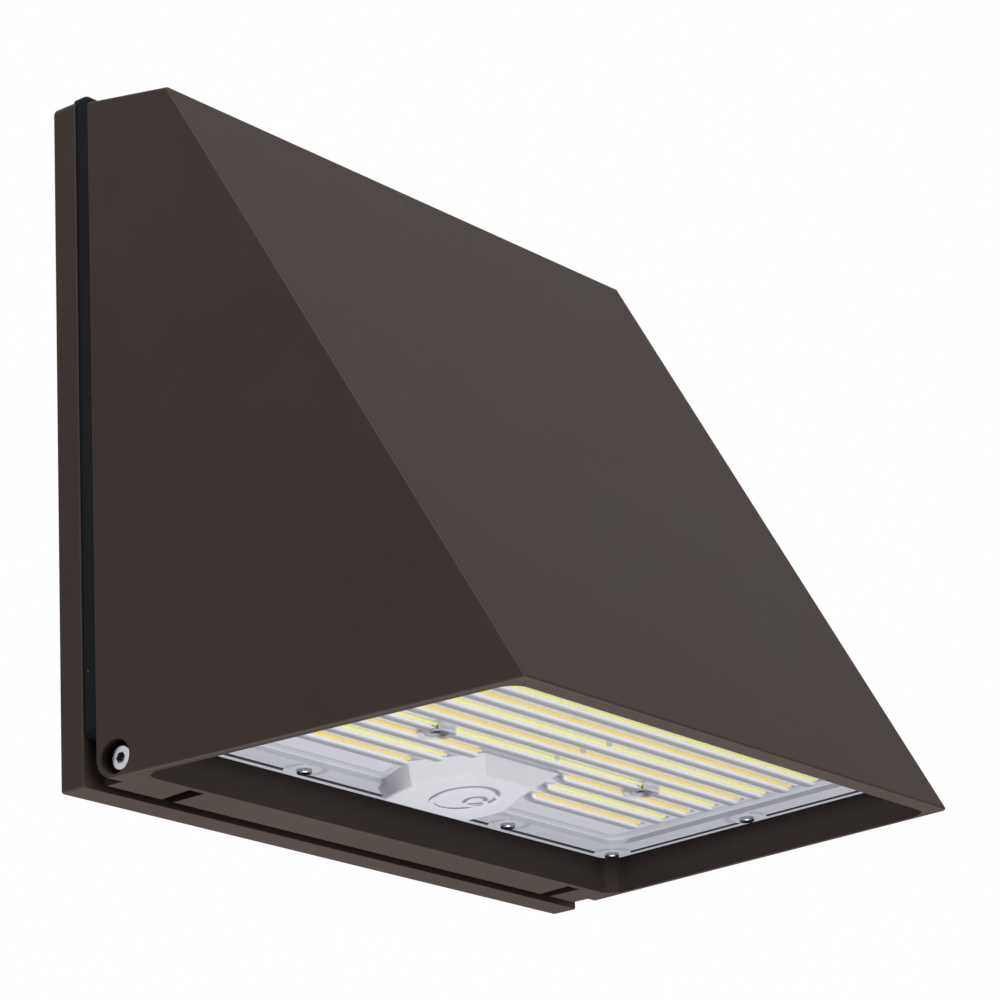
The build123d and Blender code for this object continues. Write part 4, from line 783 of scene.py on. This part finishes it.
def insulation(name, display):
    """PVC insulation: extruded skin with a soft wave of gloss, small scuffs and chalky marks."""
    finish = Finish(name)
    colour = linear(display)
    wave = finish.noise(4 * MM, 2.0)
    skin = finish.noise(0.35 * MM, 2.0)
    scuff = finish.noise(2.5 * MM, 5.0, distortion=1.0).ramp(0.64, 0.76)
    base = finish.mix(wave, tone(colour, 0.9), tone(colour, 1.12))
    base = finish.mix(scuff * 0.3, base, (0.4, 0.4, 0.4, 1.0))
    return finish.coat(
        Base_Color=base,
        Roughness=0.33 + wave * 0.1 + scuff * 0.2,
        Specular=0.45,
        Normal=finish.bump(wave + skin * 0.2, 0.05 * MM, 0.6),
    )


def dark_eye(name, display):
    """Small dark lens: deep gloss over a faint grid of segments."""
    finish = Finish(name)
    colour = linear(display)
    segment = finish.cells(1.1 * MM, feature="DISTANCE_TO_EDGE").ramp(0.02, 0.1)
    haze = finish.noise(2 * MM, 3.0)
    base = finish.mix(segment, tone(colour, 2.2), colour)
    return finish.coat(
        Base_Color=base,
        Roughness=0.08 + haze * 0.08,
        Specular=0.6,
        Coat_Weight=0.6 + haze * 0.2,
        Normal=finish.bump(segment, 0.05 * MM, 0.6),
    )


def studio_floor(name, display):
    """Pale painted floor with a faint trowelled unevenness."""
    finish = Finish(name)
    colour = linear(display)
    cloud = finish.noise(0.7, 3.0)
    grain = finish.noise(0.02, 2.0)
    base = finish.mix(cloud, tone(colour, 0.98), tone(colour, 1.02))
    return finish.coat(
        Base_Color=base,
        Roughness=0.7 + grain * 0.1,
        Specular=0.2,
        Normal=finish.bump(grain, 0.2 * MM, 0.2),
    )


def dress(material, *nodes):
    """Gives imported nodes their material."""
    for name in nodes:
        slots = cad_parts[name].data.materials
        slots.clear()
        slots.append(material)


# ---------------------------------------------------------------- surface pieces


def piece_from(name, corners, faces, material, smooth):
    """A mesh object from an array of corners and lists of faces, riding on the housing."""
    mesh = bpy.data.meshes.new(name)
    mesh.from_pydata(corners.reshape(-1, 3).tolist(), [], faces)
    mesh.validate()
    if smooth:
        mesh.shade_smooth()
    mesh.materials.append(material)
    piece = bpy.data.objects.new(name, mesh)
    bpy.context.scene.collection.objects.link(piece)
    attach(piece, "housing")
    return piece


def package_centres(node, sizes):
    """Plan centres of an LED node's packages: its corners fall into cells of one pitch by one row."""
    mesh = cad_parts[node].data
    flat = np.empty(len(mesh.vertices) * 3, np.float32)
    mesh.vertices.foreach_get("co", flat)
    plan = flat.reshape(-1, 3)[:, :2].astype(float)
    nearest_row = package_row(node)
    steps = np.round((plan - (0.0, nearest_row)) / (sizes.led_pitch, sizes.row_pitch))
    cells = np.unique(steps.astype(int), axis=0)
    return cells * (sizes.led_pitch, sizes.row_pitch) + (0.0, nearest_row)


def package_row(node):
    """Y of the row nearest to the wall: half a package in from the node's own edge."""
    low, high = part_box(node)
    return high.y - PACKAGE_WIDTH / 2


def dome_array(centres, foot_z, sizes):
    """Rounded square domes hanging under their packages.

    With t the share of the way out, a the angle round, A and B half the length and half the width,
    and q the squareness, a dome's point is x = t A |cos a|^q, y = t B |sin a|^q with the signs of
    cos and sin, and z = foot - rise (1 - t^4), so it is flat topped and falls off at its sides. Its
    outermost corners lie in the package by the sink.
    """
    shares = np.array(DOME_SHARES)
    angles = (np.arange(sizes.dome_sides) + 0.5) * 2 * np.pi / sizes.dome_sides
    t, a = np.meshgrid(shares, angles, indexing="ij")
    round_x = np.sign(np.cos(a)) * np.abs(np.cos(a)) ** DOME_SQUARENESS
    round_y = np.sign(np.sin(a)) * np.abs(np.sin(a)) ** DOME_SQUARENESS
    x = t * sizes.dome_length / 2 * round_x
    y = t * sizes.dome_width / 2 * round_y
    z = foot_z - sizes.dome_rise * (1 - t**4)
    grid = np.stack((x, y, z), axis=-1).reshape(-1, 3)
    grid[: sizes.dome_sides, 2] = foot_z + sizes.dome_sink
    tip = np.array([[0.0, 0.0, foot_z - sizes.dome_rise]])
    one = np.concatenate((grid, tip))
    shift = np.concatenate((centres, np.zeros((len(centres), 1))), axis=1)
    corners = one[None] + shift[:, None]
    n = sizes.dome_sides
    here = np.arange(n)
    after = (here + 1) % n
    base = np.arange(len(centres)) * len(one)
    rings = [
        np.stack((here + r * n, here + (r + 1) * n, after + (r + 1) * n, after + r * n), 1)
        for r in (0, 1)
    ]
    quads = (np.concatenate(rings)[None] + base[:, None, None]).reshape(-1, 4)
    cap = np.stack((here + 2 * n, np.full(n, 3 * n), after + 2 * n), 1)
    tips = (cap[None] + base[:, None, None]).reshape(-1, 3)
    feet = here[None] + base[:, None]
    return corners, quads.tolist() + tips.tolist() + feet.tolist()


def ring_faces(around, across):
    """Quads of a grid that closes on itself both ways."""
    i, j = np.meshgrid(np.arange(around), np.arange(across), indexing="ij")
    k, m = (i + 1) % around, (j + 1) % across
    quads = np.stack((i * across + j, k * across + j, k * across + m, i * across + m), -1)
    return quads.reshape(-1, 4).tolist()


def moulded_ring(centre, radius, sizes, around, across):
    """A low ring under a face: a shallow cap carried round a circle, with its back just in the face.

    Its point is (R + w cos b) at angle a in plan, where w is half the ring's width. In height it is
    centre z + s sin b on the back and centre z - h sin^2 b on the cap, with h the rise and s the sink.
    """
    a, b = np.meshgrid(
        np.arange(around) * 2 * np.pi / around, np.arange(across) * 2 * np.pi / across, indexing="ij"
    )
    reach = radius + sizes.ring_width / 2 * np.cos(b)
    x = centre[0] + reach * np.cos(a)
    y = centre[1] + reach * np.sin(a)
    lift = np.where(np.sin(b) > 0, sizes.ring_sink * np.sin(b), -sizes.ring_rise * np.sin(b) ** 2)
    z = centre[2] + lift
    return np.stack((x, y, z), -1)


# ---------------------------------------------------------------- operators


class WALLPACK_OT_castings(Operator):
    """Powder coats the housing and the back plate"""

    bl_idname = "wallpack.castings"
    bl_label = "Coat the Castings"

    def execute(self, context):
        colours = context.scene.wall_pack_colours
        axes = ((1.0, 0.0, 0.0), (0.0, 1.0, 0.0), (0.0, 0.0, 1.0))
        faces = (*axes, front_normal("front_housing"))
        dress(powder_coat("housing_paint", colours.bronze, faces, 1.45, 16 * MM), "front_housing")
        dress(powder_coat("plate_paint", colours.bronze, axes, 1.2, 40 * MM), "back_plate")
        return {"FINISHED"}


class WALLPACK_OT_seals(Operator):
    """Finishes the rubber seals and the foam pad"""

    bl_idname = "wallpack.seals"
    bl_label = "Finish the Seals"

    def execute(self, context):
        colours = context.scene.wall_pack_colours
        dress(
            rubber("seal_rubber", colours.rubber), "housing_gasket", "lens_gasket", "closing_screw_seal"
        )
        dress(closed_cell_foam("wall_foam", colours.foam), "wall_gasket")
        return {"FINISHED"}


class WALLPACK_OT_fasteners(Operator):
    """Finishes the screws, nuts and hinge washers"""

    bl_idname = "wallpack.fasteners"
    bl_label = "Finish the Fasteners"

    def execute(self, context):
        colours = context.scene.wall_pack_colours
        steel = brushed_metal("bright_steel", colours.steel, 0.16)
        dress(steel, "hinge_screws", "sensor_base_screws", "board_screws", "driver_screws")
        dress(steel, "terminal_fixing_screw", "closing_screw", "closing_nut")
        chrome = brushed_metal("plated_screws", colours.chrome, 0.06, depth=0.008 * MM)
        dress(chrome, "lens_rim_screws", "lens_field_screws")
        green = green_passivated("green_screws", colours.green)
        dress(green, "plate_earth_screw", "housing_earth_screw")
        dress(moulded("hinge_nylon", colours.nylon, 0.42), "hinge_washers")
        return {"FINISHED"}


class WALLPACK_OT_lens(Operator):
    """Makes the lens clear and the sensor window milky"""

    bl_idname = "wallpack.lens"
    bl_label = "Clear the Lens"

    def execute(self, context):
        colours = context.scene.wall_pack_colours
        sizes = context.scene.wall_pack_sizes
        clear = clear_plastic(
            "lens_plastic", colours.clear, (colours.cool, colours.warm), sizes, package_row("leds_warm")
        )
        dress(clear, "lens")
        dress(milky_plastic("window_plastic", colours.milky), "sensor_window")
        return {"FINISHED"}


class WALLPACK_OT_window_rings(Operator):
    """Moulds the two rings on the face of the sensor window"""

    bl_idname = "wallpack.window_rings"
    bl_label = "Mould the Window Rings"

    def execute(self, context):
        sizes = context.scene.wall_pack_sizes
        face_z = window_low.z
        plastic = bpy.data.materials["window_plastic"]
        middle = (0.0, -sizes.sensor_depth, face_z)
        eye = (sizes.eye_shift, -sizes.sensor_depth, face_z)
        rings = (
            ("window_ring", middle, sizes.ring_radius, LARGE_RING_STEPS),
            ("window_eye_ring", eye, sizes.eye_ring_radius, EYE_RING_STEPS),
        )
        for name, centre, radius, around in rings:
            corners = moulded_ring(centre, radius, sizes, around, RING_SIDES)
            piece_from(name, corners, ring_faces(around, RING_SIDES), plastic, smooth=False)
        return {"FINISHED"}


class WALLPACK_OT_board(Operator):
    """Finishes the LED board, its packages, its connectors and the sensor"""

    bl_idname = "wallpack.board"
    bl_label = "Finish the LED Board"

    def execute(self, context):
        colours = context.scene.wall_pack_colours
        sizes = context.scene.wall_pack_sizes
        mask = printed_board("white_board", colours.mask, sizes, package_row("leds_warm"))
        dress(mask, "led_board")
        dress(led_package("package_cool", colours.cool, sizes), "leds_cool")
        dress(led_package("package_warm", colours.warm, sizes), "leds_warm")
        white = moulded("white_plastic", colours.white_plastic)
        dress(white, "board_connectors", "sensor_module")
        dress(white, "power_selector_knob", "colour_selector_knob", "terminal_block")
        dress(dark_eye("sensor_eye", colours.sensor_eye), "sensor_lens")
        return {"FINISHED"}


class WALLPACK_OT_phosphor(Operator):
    """Lays a phosphor dome on every LED package"""

    bl_idname = "wallpack.phosphor"
    bl_label = "Lay the Phosphor"

    def execute(self, context):
        colours = context.scene.wall_pack_colours
        sizes = context.scene.wall_pack_sizes
        for row, display in (("cool", colours.cool), ("warm", colours.warm)):
            node = f"leds_{row}"
            centres = package_centres(node, sizes)
            if not len(centres):
                raise RuntimeError(f"no packages were found on {node}")
            foot_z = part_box(node)[0].z
            corners, faces = dome_array(centres, foot_z, sizes)
            glow = phosphor(f"phosphor_{row}", display, sizes)
            piece_from(f"phosphor_{row}", corners, faces, glow, smooth=True)
        return {"FINISHED"}


class WALLPACK_OT_wiring(Operator):
    """Finishes the driver, the terminals, the leads and the small black mouldings"""

    bl_idname = "wallpack.wiring"
    bl_label = "Finish the Wiring"

    def execute(self, context):
        colours = context.scene.wall_pack_colours
        dress(spangled_zinc("driver_zinc", colours.zinc), "driver_case")
        black = moulded("black_plastic", colours.black_plastic, 0.45)
        dress(black, "wire_entry_bushing", "lead_grommet")
        dress(black, "power_selector_frame", "colour_selector_frame")
        dress(brushed_metal("clamp_brass", colours.brass, 0.18), "terminal_clamp_screws")
        dress(insulation("lead_red", colours.red_lead), "led_lead_positive")
        dress(insulation("lead_black", colours.black_lead), "led_lead_negative", "line_lead")
        dress(insulation("lead_white", colours.white_lead), "neutral_lead")
        dress(insulation("lead_green", colours.green_lead), "earth_lead")
        dress(insulation("lead_grey", colours.grey_lead), "sensor_lead")
        return {"FINISHED"}


class WALLPACK_OT_stage(Operator):
    """Sets up the floor, the soft lamps, the white room and the camera"""

    bl_idname = "wallpack.stage"
    bl_label = "Set the Stage"

    def execute(self, context):
        studio = context.scene.wall_pack_studio
        colours = context.scene.wall_pack_colours
        lay_floor(studio, colours)
        aim = Vector((0.0, -0.11, 0.0))
        hang_softbox("lamp_under", (-0.1, -0.3, -1.45), aim, 0.8, studio.under_power)
        hang_softbox("lamp_left", (-1.9, -0.7, 1.3), aim, 1.2, studio.left_power)
        hang_softbox("lamp_top", (-0.75, -0.95, 1.8), aim, 0.7, studio.top_power)
        hang_softbox("lamp_right", (1.7, -1.5, 0.7), aim, 1.4, studio.right_power)
        light_room(context.scene, studio)
        stand_camera(context.scene, studio)
        context.scene.view_settings.view_transform = "Standard"
        return {"FINISHED"}


# ---------------------------------------------------------------- studio


def lay_floor(studio, colours):
    """A flat disc: x = r cos a, y = r sin a, at the floor's height."""
    n = FLOOR_SIDES
    shares, angles = np.meshgrid(
        np.linspace(0.02, 1.0, FLOOR_RINGS), np.arange(n) * 2 * np.pi / n, indexing="ij"
    )
    reach = shares * studio.floor_reach
    grid = np.stack(
        (reach * np.cos(angles), reach * np.sin(angles), np.full_like(reach, studio.floor_height)), -1
    )
    i, j = np.meshgrid(np.arange(FLOOR_RINGS - 1), np.arange(n), indexing="ij")
    k = (j + 1) % n
    quads = np.stack((i * n + j, (i + 1) * n + j, (i + 1) * n + k, i * n + k), -1).reshape(-1, 4)
    mesh = bpy.data.meshes.new("studio_floor")
    mesh.from_pydata(grid.reshape(-1, 3).tolist(), [], [*quads.tolist(), list(range(n))])
    mesh.materials.append(studio_floor("studio_floor", colours.floor))
    floor = bpy.data.objects.new("studio_floor", mesh)
    bpy.context.scene.collection.objects.link(floor)


def hang_softbox(name, place, aim, size, power):
    """A square area lamp turned towards the object, not seen by the camera itself."""
    lamp = bpy.data.lights.new(name, "AREA")
    lamp.shape = "SQUARE"
    lamp.size = size
    lamp.energy = power
    holder = bpy.data.objects.new(name, lamp)
    bpy.context.scene.collection.objects.link(holder)
    direction = aim - Vector(place)
    facing = direction.to_track_quat("-Z", "Y").to_matrix().to_4x4()
    holder.matrix_world = Matrix.Translation(place) @ facing
    holder.visible_camera = False


def light_room(scene, studio):
    """White surroundings as seen directly, in gloss and through clear plastic, softer as light."""
    scene.world = bpy.data.worlds.new("studio_room")
    scene.world.use_nodes = True
    room = Bench(scene.world.node_tree)
    seen = room.node("ShaderNodeLightPath", out="Is Camera Ray")
    outputs = seen.socket.node.outputs
    glossy = Wire(room, outputs["Is Glossy Ray"])
    through = Wire(room, outputs["Is Transmission Ray"])
    direct = seen.larger(glossy).larger(through)
    strength = studio.room_level + direct * (1 - studio.room_level)
    white = (1.0, 1.0, 1.0, 1.0)
    glow = room.node("ShaderNodeBackground", None, {"Color": white, "Strength": strength})
    room.node("ShaderNodeOutputWorld", None, {"Surface": glow})


def stand_camera(scene, studio):
    """The photograph's viewpoint: a direction, a roll and a distance from a point in the light."""
    a, e, r = studio.azimuth, studio.elevation, studio.roll
    back = np.array([np.sin(a) * np.cos(e), -np.cos(a) * np.cos(e), np.sin(e)])
    right = np.array([np.cos(a), np.sin(a), 0.0])
    up = np.cross(back, right)
    turned_right = right * np.cos(r) + up * np.sin(r)
    turned_up = up * np.cos(r) - right * np.sin(r)
    width = housing_high.x - housing_low.x
    middle = np.array([0.0, -0.3 * width, rim_z + 0.35 * width])
    place = middle + back * studio.distance + right * studio.aim_right + up * studio.aim_up
    pose = np.eye(4)
    pose[:3, 0], pose[:3, 1], pose[:3, 2], pose[:3, 3] = turned_right, turned_up, back, place
    optics = bpy.data.cameras.new("photo_camera")
    optics.sensor_width = 36.0
    optics.lens = studio.lens_length
    optics.clip_end = 100.0
    camera = bpy.data.objects.new("photo_camera", optics)
    scene.collection.objects.link(camera)
    camera.matrix_world = Matrix(pose.tolist())
    scene.camera = camera


# ---------------------------------------------------------------- add-on layout


STEPS = (
    WALLPACK_OT_castings,
    WALLPACK_OT_seals,
    WALLPACK_OT_fasteners,
    WALLPACK_OT_lens,
    WALLPACK_OT_window_rings,
    WALLPACK_OT_board,
    WALLPACK_OT_phosphor,
    WALLPACK_OT_wiring,
    WALLPACK_OT_stage,
)


class VIEW3D_PT_wall_pack(Panel):
    """Steps that dress the wall pack light, and the values they use."""

    bl_label = "Wall Pack Light"
    bl_idname = "VIEW3D_PT_wall_pack"
    bl_space_type = "VIEW_3D"
    bl_region_type = "UI"
    bl_category = "Wall Pack"

    def draw(self, context):
        layout = self.layout
        for step in STEPS:
            layout.operator(step.bl_idname)
        for name in ("wall_pack_colours", "wall_pack_sizes", "wall_pack_studio"):
            group = getattr(context.scene, name)
            box = layout.box()
            for key in group.__annotations__:
                box.prop(group, key)


GROUPS = {
    "wall_pack_colours": WallPackColours,
    "wall_pack_sizes": WallPackSizes,
    "wall_pack_studio": WallPackStudio,
}


def register():
    """Adds the groups of values, the operators and the panel."""
    for cls in (*GROUPS.values(), *STEPS, VIEW3D_PT_wall_pack):
        bpy.utils.register_class(cls)
    for name, group in GROUPS.items():
        setattr(bpy.types.Scene, name, PointerProperty(type=group))


def unregister():
    """Takes away what register added."""
    for name in GROUPS:
        delattr(bpy.types.Scene, name)
    for cls in reversed((*GROUPS.values(), *STEPS, VIEW3D_PT_wall_pack)):
        bpy.utils.unregister_class(cls)


def main():
    """Dresses the light step by step."""
    register()
    bpy.ops.wallpack.castings()
    bpy.ops.wallpack.seals()
    bpy.ops.wallpack.fasteners()
    bpy.ops.wallpack.lens()
    bpy.ops.wallpack.window_rings()
    bpy.ops.wallpack.board()
    bpy.ops.wallpack.phosphor()
    bpy.ops.wallpack.wiring()
    bpy.ops.wallpack.stage()


if __name__ == "__main__":
    main()
